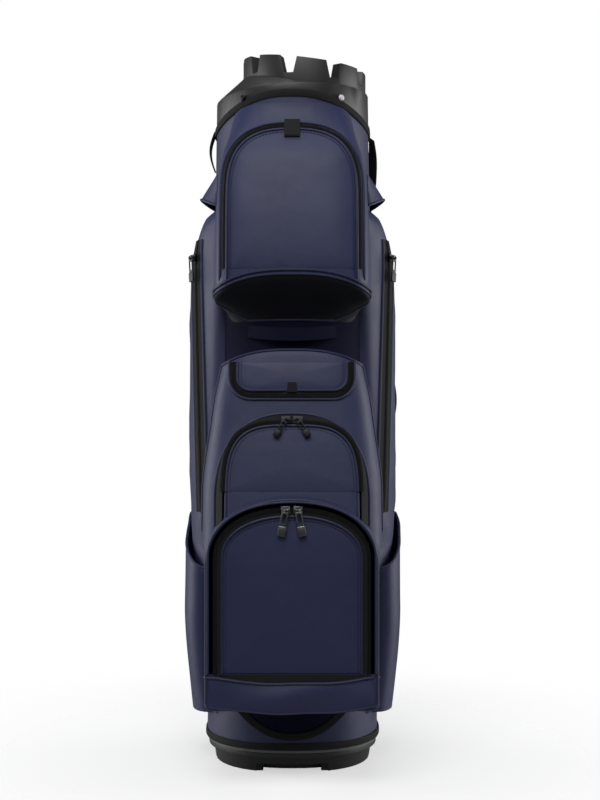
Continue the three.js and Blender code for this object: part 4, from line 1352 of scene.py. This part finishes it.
@dataclass
class MidPocket:
    """The middle pocket: a lid standing off the apron on mesh gussets."""

    shop: Workshop
    depth: float = 0.015
    inner: Arch = field(default_factory=lambda: Arch(0.083, 0.347, 0.447, 0.364, 3.5))
    outer: Arch = field(default_factory=lambda: Arch(0.0945, 0.345, 0.4585, 0.345, 2.45))

    def face(self, x: float, z: float) -> float:
        """The lid's surface, a flat front that leans with the apron and turns back a little at its sides."""
        drop = smooth_table(((0.3, 0.0655), (0.36, 0.0555), (0.45, 0.0405), (0.541, 0.024)), z)
        return -TUBE.half(z)[1] - drop - self.depth + 0.0025 * (abs(x) / 0.083) ** 4

    def build(self) -> None:
        """Make the gusset, the lid with its zip, and the front below the hinge."""
        inner = on_surface(self.face, self.inner.line(0.0034, 120, 0.32), -0.0006)
        outer = on_surface(APRON.front, self.outer.line(0.0008, 120, 0.32), 0.0002)
        rows = []
        for s in (0.0, 0.2, 0.4, 0.6, 0.8, 1.0):
            bow = unit(outer - inner.mean(axis=0)) * 0.0016 * math.sin(math.pi * s)
            rows.append(inner * (1 - s) + outer * s + bow)
        lower = [r + [0, 0.002, 0] + unit(r.mean(axis=0) - r) * 0.0015 for r in rows]
        self.shop.wall("mid_gusset", np.array(rows), np.array(lower), KNIT, ["mid_pocket_gusset"])
        seam = on_surface(APRON.front, self.outer.line(0.0014, 120, 0.32), 0.0012)
        self.shop.pipe("mid_seam_piping", (seam, 0.0018))
        ZippedLid(self.shop, "mid", self.inner, self.face, "mid_lid", 0.0042, 0.0016, thick=0.0022, roll=0.0004,
                  corner=0.001, stands_for=("mid_pocket_lid",), welted=False).build()
        foot = Sewing()
        half, low, high = 0.0828, 0.31, 0.3641
        ring = np.array([(-half, low), (half, low), (half, high), (-half, high)])
        panel(foot, resample(ring, 90, closed=True), self.face, 0.0022, edge=0.0003)
        self.shop.sew("mid_front_foot", foot, NAVY)
        ends = [np.array([(sign * 0.0812, z) for z in np.linspace(0.3618, 0.312, 20)]) for sign in (-1, 1)]
        ends = [(on_surface(self.face, line, 0.0009), 0.00165) for line in ends]
        self.shop.pipe("mid_piping_ends", *ends)


@dataclass
class BallPocket:
    """The large lower pocket with its wide zip, and the soft lip below its lid."""

    shop: Workshop
    front_y: float = -0.213
    back_y: float = -0.08
    middle: tuple[float, float] = (0.0, 0.22)
    lip_half: float = 0.1068
    roll: float = 0.0035
    lid: Arch = field(default_factory=lambda: Arch(0.087, 0.283, 0.337, 0.143, 2.2))

    def outline(self, y: float, inset: float) -> Points:
        """The box's outline at a depth."""
        t = (y - self.front_y) / 0.133
        arch = Arch(0.106 + 0.007 * t, 0.275, 0.357 + 0.012 * t, 0.097, 2.15)
        return arch.ring(-inset, 180, 0.006)

    def rows(self, inset: float) -> Points:
        """The box's wall from its back to the front opening's edge, inset by a wall."""
        rows = []
        front = self.front_y + inset
        for s in np.linspace(0, 1, 14):
            flat = self.outline(self.back_y + (front + self.roll - self.back_y) * s, inset)
            back = [min(self.back_y, TUBE.front(x, z) + 0.0006) if abs(x) < 0.109 else self.back_y
                    for x, z in flat]
            rows.append([(x, b + (front + self.roll - b) * s, z) for (x, z), b in zip(flat, back)])
        edge = self.outline(front, inset)
        middle = np.array(self.middle)
        for a in np.linspace(0.2, math.pi / 2, 6):
            shrink = 1 - 0.025 * (1 - math.cos(a))
            flat = middle + (edge - middle) * shrink
            rows.append([(x, front + self.roll * (1 - math.sin(a)), z) for x, z in flat])
        hole = self.lid.ring(0.0075, 180, 0.006)
        last = np.array([(x, z) for x, _, z in rows[-1]])
        start = int(np.argmin(np.linalg.norm(hole - last[0], axis=1)))
        hole = np.roll(hole, -start, axis=0)
        for s in (0.3, 0.7, 1.0):
            flat = last * (1 - s) + hole * s
            rows.append([(x, front, z) for x, z in flat])
        return np.array(rows)

    def build(self) -> None:
        """Make the box, the lid with its zip, the edge piping and the lip."""
        box = Sewing()
        outer, inner = self.rows(0.0), self.rows(0.0025)
        box.grid(np.concatenate([outer, inner[::-1], outer[:1]]), wrap=True)
        shell = self.shop.sew("ball_shell", box, NAVY, "bag", ["ball_pocket_shell"])
        plan = [(-0.1095, -0.0838), (-0.098, -0.0838)]
        plan += [(x, min(TUBE.front(x, 0.2) - 0.003, -0.0838)) for x in np.linspace(-0.094, 0.094, 50)]
        plan += [(0.098, -0.0838), (0.1095, -0.0838)]
        rows = np.array([[(x, y, z) for x, y in plan] for z in np.linspace(0.101, 0.35, 30)])
        self.shop.sheet("ball_back_lining", rows, 0.0012, LINING)
        middle = np.array(self.middle)
        ring = middle + (self.outline(self.front_y, 0.0) - middle) * 0.985
        ring = ring[ring[:, 1] > 0.105]
        gaps = np.linalg.norm(np.diff(ring, axis=0, append=ring[:1]), axis=1)
        ring = np.roll(ring, -int(np.argmax(gaps)) - 1, axis=0)
        edge = np.array([(x, self.front_y + 0.0012, z) for x, z in ring])
        self.shop.pipe("ball_edge_piping", (edge, 0.0021))
        ZippedLid(self.shop, "ball", self.lid, lambda x, z: self.front_y, "ball_lid", 0.0143, 0.0035,
                  stands_for=("ball_pocket_lid",), zip_stands_for=("ball_pocket_zip",)).build()
        self.lip()

    def lip(self) -> None:
        """Make the soft lip, its wavy piped edge and its sagging foot."""
        across = np.linspace(-self.lip_half, self.lip_half, 80)
        rows = []
        for t in np.linspace(0, 1, 14):
            row = []
            for x in across:
                u = x / self.lip_half
                wave = 0.0008 * math.sin(6.5 * u + 0.6) * (1 - u**2)
                top = 0.131 + 0.0073 * min(1.0, abs(u) / 0.86) ** 2.4 + wave
                low = 0.0948 + 0.0095 * u**2 + 0.0006 * math.sin(9 * u)
                swell = 0.0028 * math.sin(math.pi * min(1, t * 1.05)) * (1 - u**8)
                swell += 0.0012 * math.sin(5 * u + 4 * t)
                row.append((x, self.front_y - 0.0014 - swell + 0.007 * abs(u) ** 22, top + (low - top) * t))
            rows.append(row)
        front = np.array(rows)
        # Black zip tape behind the lip, dark partly as tape and partly as painted shade of the gap under the
        # lid.
        section = [(0.086 + 0.0085 * t, 0.112 + 0.0304 * t) for t in np.linspace(0, 1, 8)]
        strip = [[(x * half, self.front_y - 0.0006, z) for x in np.linspace(-1, 1, 40)] for half, z in section]
        self.shop.sheet("ball_low_tape", np.array(strip), 0.0005, TAPE)
        lip = self.shop.wall("ball_lip", front, front + [0, 0.0016, 0], NAVY, ["ball_pocket_lip"])
        edges = ((front[0] + [0, -0.0004, 0], 0.0018), (front[-1] + [0, -0.0002, 0], 0.0012))
        self.shop.pipe("ball_lip_piping", *edges)


@dataclass
class SidePocket:
    """A long side pocket with soft vertical folds, its zip, and the open slip pocket and hood beside it."""

    shop: Workshop
    side: Side
    zip_top: tuple[float, float, float] = (0.129, -0.036, 0.682)
    zip_low: tuple[float, float, float] = (0.119, -0.071, 0.345)
    facing: float = math.radians(38)
    wall: float = 0.0025
    seam: float = 0.0131

    @property
    def mirror(self) -> Points:
        """What turns a shape of the +X side to this side."""
        return np.array([self.side.value, 1, 1])

    def bulge(self, z: float) -> float:
        """How far the pocket stands off the tube at its side."""
        if z >= 0.56:
            return 0.036 * math.sqrt(max(0.0, 1 - ((z - 0.56) / 0.17) ** 2))
        keys = ((0.068, 0.007), (0.2, 0.013), (0.26, 0.0225), (0.3, 0.0275), (0.345, 0.033), (0.4, 0.036),
                (0.56, 0.036))
        return smooth_table(keys, z)

    def zip_at(self, z: float) -> Points:
        """The zip's middle at a height."""
        t = (self.zip_top[2] - z) / (self.zip_top[2] - self.zip_low[2])
        top, low = np.array(self.zip_top), np.array(self.zip_low)
        return top + (low - top) * t

    def level(self, z: float, inset: float) -> Points:
        """A level's points from its front seam round to its back seam."""
        half = TUBE.half(z)[0]
        out = half + self.bulge(z) - inset
        middle = self.zip_at(min(max(z, 0.3), 0.7))
        look = np.array([math.cos(self.facing), -math.sin(self.facing)])
        along = np.array([-look[1], look[0]])
        share = min(1.0, max(0.0, (z - 0.29) / 0.05)) * min(1.0, max(0.0, (0.725 - z) / 0.03))
        zips = [middle[:2] + along * s - look * inset for s in (-0.0145, 0.0145)]
        plain = [np.array([out - 0.016, -0.058]), np.array([out - 0.003, -0.032])]
        bend = [p * (1 - share) + q * share for p, q in zip(plain, zips)]
        bend = [np.array([min(p[0], out), p[1]]) for p in bend]
        keys = np.array([[0.06, -0.074], [half - 0.012, -0.082 + inset], *bend, [out, 0.018],
                         [out - 0.003, 0.06], [out - 0.016, 0.084 - inset], [0.06, 0.084 - inset]])
        row = resample(soften(keys, 3), 84)
        if inset == 0.0:
            row = self.folded(row, z)
        return clear_of_tube(row, z)

    def folded(self, row: Points, z: float) -> Points:
        """Soft upright folds in the wall behind the zip."""
        found = []
        for x, y in row:
            weight = min(1.0, max(0.0, (y + 0.012) / 0.03)) * min(1.0, max(0.0, (0.71 - z) / 0.12))
            spot = Vector((y * 30 + z * 8 + self.side.value * 3, z * 11, 2.1 * self.side.value))
            ripple = noise.noise(spot) * 0.65 + noise.noise(spot * 2.1) * 0.35
            found.append((x + 0.0062 * weight * (ripple - 0.3), y))
        return np.array(found)

    def build(self) -> None:
        """Make the pocket, its zip, the slip pocket and the hood."""
        word = self.side.word
        heights = np.unique(np.concatenate([np.linspace(0.068, 0.6, 74), np.linspace(0.6, 0.7285, 30)]))
        outer = np.array([self.level(z, 0.0) for z in heights]) * self.mirror
        inner = np.array([self.level(z, self.wall) for z in heights]) * self.mirror
        shell = self.shop.wall(f"side_wall_{word}", outer, inner, NAVY, [f"side_pocket_{word}"])
        self.long_zip(word)
        self.slip(word)
        self.hood(word)

    def long_zip(self, word: str) -> None:
        """Make the long zip's tape, coil and piping."""
        look = np.array([math.cos(self.facing), -math.sin(self.facing), 0.0])
        heights = np.linspace(0.33, 0.69, 90)
        inside = (-0.011, -0.006, 0.0, 0.006, 0.011)
        rows = {s: [] for s in (-self.seam, *inside, self.seam)}
        for z in heights:
            level = self.level(z, 0.0)
            run = run_along(level)
            fine = np.linspace(0.0, run[-1], 1500)
            spots = np.stack([np.interp(fine, run, level[:, k]) for k in range(2)], axis=1)
            near = fine[int(np.argmin(np.linalg.norm(spots - self.zip_at(z)[:2], axis=1)))]
            for s, line in rows.items():
                line.append([np.interp(near + s, run, level[:, k]) for k in range(3)])
        lines = {s: soften(np.array(line), 1) for s, line in rows.items()}
        for s, line in lines.items():
            smooth = line.copy()
            for _ in range(30):
                smooth[1:-1] = (smooth[:-2] + 2 * smooth[1:-1] + smooth[2:]) / 4
            lines[s] = smooth
        side = unit(lines[self.seam] - lines[-self.seam])
        looks = unit(np.cross(side, unit(np.gradient(lines[0.0], axis=0))))
        looks *= np.sign(np.sum(looks * look, axis=1))[:, None]
        tape = Sewing()
        flat = np.array([lines[s] + looks * 0.0011 for s in inside])
        shell_rows(tape, flat * self.mirror, (flat - looks * 0.0016) * self.mirror)
        for turn in (1, -1):
            tape.coil((lines[0.0] + looks * 0.0014) * self.mirror, looks * self.mirror, turn)
        self.shop.sew(f"long_zip_tape_{word}", tape, TAPE, "bag", [f"side_zip_{word}"], angle=30)
        for k, s in enumerate((-self.seam, self.seam)):
            cord = (lines[s] + looks * 0.0006) * self.mirror
            self.shop.pipe(f"long_zip_piping_{word}_{k + 1}", (cord, 0.0018))

    def slip(self, word: str) -> None:
        """Make the open slip pocket and its bound rim."""
        plan_at = np.linspace(0, 1, 60)

        def point(u: float, v: float, inset: float) -> tuple[float, float, float]:
            """A point of the wall, across it and up it."""
            z = 0.066
            for _ in range(3):
                bow = 0.0315 - 0.0125 * min(1.0, max(0.0, (0.2 - z) / 0.134)) ** 1.5
                half = TUBE.half(z)[0]
                out = half + bow - inset
                keys = np.array([[half - 0.014, -0.06 + inset], [out - 0.014, -0.06 + inset], [out, -0.036],
                                 [out + 0.001, 0.005], [out, 0.046], [out - 0.014, 0.07 - inset],
                                 [half - 0.014, 0.07 - inset]])
                x, y = resample(soften(keys, 3), 61)[int(round(u * 60))]
                rim = 0.253 + 0.068 * min(1.0, (y + 0.06) / 0.1) ** 0.8
                z = 0.066 + (rim - 0.066) * v
            lean = (0.0012 + 0.0012 * self.side.value) * v**3 * math.sin(math.pi * u)
            ripple = 0.0016 * noise.noise(Vector((y * 30, z * 9, self.side.value * 5.0)))
            return x + lean + ripple * math.sin(math.pi * u), y, z

        outer, inner = (
            np.array([[point(u, v, inset) for u in plan_at] for v in np.linspace(0, 1, 40)]) * self.mirror
            for inset in (0.0, self.wall)
        )
        piece = self.shop.wall(f"slip_wall_{word}", outer, inner, NAVY, [f"slip_pocket_{word}"])
        self.shop.pipe(f"slip_rim_{word}", ((outer[-1] + inner[-1]) / 2 + [0, 0, 0.0004], 0.0021))

    def hood(self, word: str) -> None:
        """Make the hood that flares out over the side zip's top."""
        rows = []
        for t in np.linspace(0, 1, 14):
            row = []
            for u in np.linspace(0, 1, 48):
                y = -0.042 + 0.075 * u
                z = 0.776 - 0.04 * t
                half, deep = TUBE.half(z)
                skin = half * (1 - abs(y / deep) ** 2.3) ** (1 / 2.3) + 0.0003
                rise = math.sin(math.pi * u)
                out = 0.0185 * rise**0.75 * (t**0.9 if t > 0 else 0.0)
                row.append((skin + out + 0.0008, y, z + 0.0115 * rise**0.9 * t))
            rows.append(row)
        outer = np.array(rows) * self.mirror
        inner = outer - self.mirror * [0.0018, 0, 0]
        piece = self.shop.wall(f"hood_{word}", outer, inner, NAVY, [f"side_hood_{word}"])
        self.shop.pipe(f"hood_piping_{word}", (outer[-1], 0.0017))


@dataclass
class Handles:
    """The webbing: side grip, lifting handle, base grip and the shoulder strap with its pad."""

    shop: Workshop
    route: tuple[tuple[float, float, float], ...] = (
        (0.108, 0.048, 0.838), (0.111, 0.06, 0.815), (0.107, 0.077, 0.785), (0.098, 0.093, 0.745),
        (0.091, 0.102, 0.705), (0.092, 0.106, 0.655), (0.099, 0.11, 0.6), (0.112, 0.111, 0.55),
        (0.128, 0.104, 0.51), (0.138, 0.095, 0.48), (0.137, 0.091, 0.455), (0.13, 0.092, 0.434))

    def build(self) -> None:
        """Make every strap and handle."""
        grip = Sewing()
        heights = np.linspace(0.786, 0.8365, 24)
        bow = 0.0062 * np.sin(np.linspace(0, math.pi, 24))
        path = np.array([(-(TUBE.half(z)[0] + 0.0003 + b), -0.008, z) for z, b in zip(heights, bow)])
        grip.strap(path, [-1.0, 0.0, 0.0], 0.026, 0.0022)
        self.shop.sew("grip_webbing", grip, WEBBING, "bag", ["side_grip"])
        across = np.linspace(-0.055, 0.055, 44)
        sag = 0.012 * np.cos(across / 0.055 * math.pi / 2)
        path = np.array([(x, TUBE.front(x, 0.56) - 0.0008 - s, 0.565 - 0.4 * s) for x, s in zip(across, sag)])
        # The lift handle takes the painted-shade navy rather than webbing black, to sit in the belly's shade.
        lift = Sewing()
        lift.strap(path, [0.0, -1.0, 0.0], 0.017, 0.0022)
        self.shop.sew("lift_webbing", lift, NAVY_PAINTED_SHADE, "bag", ["lift_handle"])
        across = np.linspace(-0.075, 0.075, 60)
        rise = 0.048 + 0.041 * np.abs(across / 0.075) ** 2.2
        path = np.array([(x, TUBE.front(x, z) - 0.0012, z) for x, z in zip(across, rise)])
        base = Sewing()
        base.strap(path, [0.0, -1.0, 0.0], 0.009, 0.0018)
        self.shop.sew("base_webbing", base, WEBBING, "bag", ["base_grip"])
        # A dark navy sheet from the base grip up to the lip: painted shade under the lip's overhang.
        across = np.linspace(-0.072, 0.072, 60)
        rows = []
        for t in np.linspace(0, 1, 14):
            heights = (0.05 + 0.041 * np.abs(across / 0.075) ** 2.2) * (1 - t) + 0.106 * t
            rows.append([(x, TUBE.front(x, z) - 0.0008, z) for x, z in zip(across, heights)])
        self.shop.sheet("base_inset_panel", np.array(rows), 0.0007, NAVY_PAINTED_SHADE)
        self.shoulder()

    def shoulder(self) -> None:
        """Make the shoulder strap and its padded middle."""
        keys = np.array(self.route)
        run = resample(soften(keys, 3), 140)
        looks = unit(np.stack([run[:, 0] / 0.1145**2, run[:, 1] / 0.127**2, np.zeros(140)], axis=1))
        t = np.linspace(0, 1, 140)
        width = 0.018 + 0.018 * np.clip(np.minimum(t, 1 - t) / 0.14, 0, 1)
        band = Sewing()
        band.strap(run, looks, width, 0.0024)
        self.shop.sew("shoulder_webbing", band, WEBBING, "strap", ["shoulder_strap"])
        part = slice(34, 94)
        pad = Sewing()
        shape = np.sin(np.linspace(0.16, math.pi - 0.16, 60)) ** 0.28
        ring_turn = np.linspace(0, 2 * math.pi, 28, endpoint=False)
        along = unit(np.gradient(run[part], axis=0))
        rings = []
        for point, forward, look, size in zip(run[part], along, looks[part], shape):
            across = np.cross(forward, look)
            middle = point + look * (0.0036 + 0.0045)
            wide = 0.026 * size * np.sign(np.cos(ring_turn)) * np.abs(np.cos(ring_turn)) ** 0.5
            high = 0.0044 * size * np.sign(np.sin(ring_turn)) * np.abs(np.sin(ring_turn)) ** 0.6
            rings.append(middle + np.outer(wide, across) + np.outer(high, look))
        pad.closed_tube(np.array(rings))
        piece = self.shop.sew("shoulder_pad", pad, FOAM, "strap", ["strap_pad"])
        self.shop.inflate(piece, 0.004, 0.0022)


@dataclass
class ZipHardware:
    """The sliders and their pulls, each an open frame with a solid rounded tip."""

    shop: Workshop
    frame_size: tuple[float, float, float] = (0.0082, 0.0205, 0.0015)
    slot_size: tuple[float, float, float] = (0.0046, 0.0115, 0.01)
    tip_size: tuple[float, float, float] = (0.0102, 0.0125, 0.0026)

    def build(self) -> None:
        """Make each slider and pull; the front pockets' pulls splay apart a little."""
        zips = (("ball", "ball", GUNMETAL, 13.0, 1.0), ("mid", "mid", BLACK_METAL, 34.0, 0.78),
                ("side", "long", BLACK_METAL, 0.0, 1.0))
        for place, word, metal, splay, scale in zips:
            for side in Side:
                self.shop.copy(f"{place}_slider_{side.word}", metal, 0.0004, angle=40)
                joint = self.shop.joint(f"{word}_tag_{side.word}_swing")
                self.pull(f"{place}_pull_{side.word}", joint, metal, side.value * splay, scale)

    def block(self, size: Sequence[float], at: Sequence[float], rounding: float) -> bpy.types.Object:
        """Make a block with rounded edges from a cube.

        Args:
            size: Its full sizes.
            at: Its middle.
            rounding: The radius of its edges.

        Returns:
            The block.
        """
        bpy.ops.mesh.primitive_cube_add(size=1, location=at)
        made = bpy.context.object
        made.scale = size
        bpy.ops.object.transform_apply(location=True, rotation=False, scale=True)
        round_edges(made, rounding)
        return made

    def pull(self, node: str, joint: dict[str, Any], metal: Finish, splay: float, scale: float) -> None:
        """Make a pull that hangs from its joint.

        Args:
            node: The frame node that it stands for.
            joint: The joint that it swings on.
            metal: Its finish.
            splay: How far it leans outwards to its side, in degrees.
            scale: Its size against a full-sized pull.
        """
        deselect()
        plate = self.block(self.frame_size, (0, -0.0125, 0), 0.0005)
        carve(plate, self.block(self.slot_size, (0, -0.0108, 0), 0.0006))
        tip = self.block(self.tip_size, (0, -0.0262, 0), 0.0011)
        bpy.ops.mesh.primitive_torus_add(
            major_radius=0.0023, minor_radius=0.00065, major_segments=20, minor_segments=8,
            location=(0, 0, 0), rotation=(0, math.pi / 2, 0),
        )
        eye = bpy.context.object
        bpy.ops.object.transform_apply(location=True, rotation=True, scale=True)
        select_only(plate)
        tip.select_set(True)
        eye.select_set(True)
        bpy.context.view_layer.objects.active = plate
        bpy.ops.object.join()
        axis = Vector(joint["axis"]).normalized()
        low, high = (Vector(c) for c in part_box(node))
        pivot = Vector(joint["pos_m"])
        down = (low + high) / 2 - pivot
        down = (down - axis * down.dot(axis)).normalized()
        out = axis.cross(-down).normalized()
        if out.y > 0.0:
            axis, out = -axis, -out
        turned = Matrix((axis, -down, out)).transposed().to_4x4()
        lean = Matrix.Rotation(math.radians(splay), 4, out)
        plate.data.transform(Matrix.Translation(pivot + out * 0.0004) @ lean @ turned @ Matrix.Scale(scale, 4))
        plate.name = f"{node}_metal"
        self.shop.shade(plate, 35.0)
        self.shop.finish(plate, metal, joint["child"], [node])


@dataclass
class Studio:
    """The pale floor, the surround, the lights and the camera."""

    height: float = 0.477
    distance: float = 2.1
    lens: float = 69.7

    def build(self) -> None:
        """Make the floor, the world, the lights and the camera."""
        bpy.ops.mesh.primitive_plane_add(size=12, location=(0, 0, -0.0004))
        floor = bpy.context.object
        floor.name = "floor"
        graph = Graph(bpy.data.materials.new("pale_floor"))
        away = graph.node("ShaderNodeVectorMath", {"operation": "LENGTH"}, {0: graph.place()})
        reach = Value(graph, away.outputs["Value"])
        alpha = (1.0 - reach.between(0.16, 0.75)) * 0.42
        pale = graph.surface(Base_Color=(0.9, 0.9, 0.9, 1.0), Roughness=0.75, Alpha=alpha)
        floor.data.materials.append(pale)
        self.world()
        self.lamp("key", (-0.3, -1.5, 2.35), (0.0, -0.05, 0.8), 1.3, 33.0)
        self.lamp("front", (0.0, -2.2, 1.8), (0.0, 0.0, 0.78), 1.4, 12.5)
        self.lamp("rim_left", (-1.6, 0.25, 0.55), (0.0, 0.0, 0.35), 1.4, 23.5)
        self.lamp("rim_right", (1.6, 0.25, 0.55), (0.0, 0.0, 0.35), 1.4, 23.5)
        self.lamp("top", (0.0, 0.3, 2.3), (0.0, 0.0, 0.8), 0.9, 7.0)
        camera = bpy.data.cameras.new("camera")
        camera.lens = self.lens
        camera.sensor_width = 36.0
        held = bpy.data.objects.new("camera", camera)
        held.location = (0.010, -self.distance, self.height)
        held.rotation_euler = (math.pi / 2, 0, 0)
        bpy.context.scene.collection.objects.link(held)
        bpy.context.scene.camera = held
        bpy.context.scene.view_settings.view_transform = "Standard"

    def world(self) -> None:
        """Show the camera and clear rays a white surround, and light the bag with a dim one."""
        graph = Graph(bpy.data.worlds.new("surround"))
        rays = graph.node("ShaderNodeLightPath").outputs
        seen = Value(graph, rays["Is Camera Ray"]).most(rays["Is Transmission Ray"])
        dim = graph.node("ShaderNodeBackground", None, {0: (0.9, 0.93, 1.0, 1.0), 1: 0.1})
        white = graph.node("ShaderNodeBackground", None, {0: (1.0, 1.0, 1.0, 1.0), 1: 1.0})
        mixed = graph.node("ShaderNodeMixShader", None, {0: seen, 1: dim.outputs[0], 2: white.outputs[0]})
        graph.node("ShaderNodeOutputWorld", None, {0: mixed.outputs[0]})
        bpy.context.scene.world = graph.holder

    def lamp(self, name: str, at: Sequence[float], towards: Sequence[float], size: float, power: float) -> None:
        """Add a soft square light.

        Args:
            name: Its name.
            at: Where it stands.
            towards: The point it faces.
            size: The length of its side.
            power: Its power in watts.
        """
        light = bpy.data.lights.new(name, "AREA")
        light.size = size
        light.energy = power
        held = bpy.data.objects.new(name, light)
        held.location = at
        held.rotation_euler = (Vector(towards) - Vector(at)).to_track_quat("-Z", "Y").to_euler()
        bpy.context.scene.collection.objects.link(held)


def main() -> None:
    """Build the bag over the frame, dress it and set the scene."""
    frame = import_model()
    shop = Workshop(frame)
    assemblies = [
        ClubTube(shop), MouldedTrim(shop), UpperPocket(shop), FrontApron(shop), MidPocket(shop),
        BallPocket(shop), *(SidePocket(shop, side) for side in Side), Handles(shop), ZipHardware(shop),
    ]
    for assembly in assemblies:
        LOG.info("building %s", type(assembly).__name__)
        assembly.build()
    assemblies[0].dress()
    Studio().build()


if __name__ == "__main__":
    logging.basicConfig(level=logging.INFO, format="%(name)s: %(message)s")
    main()
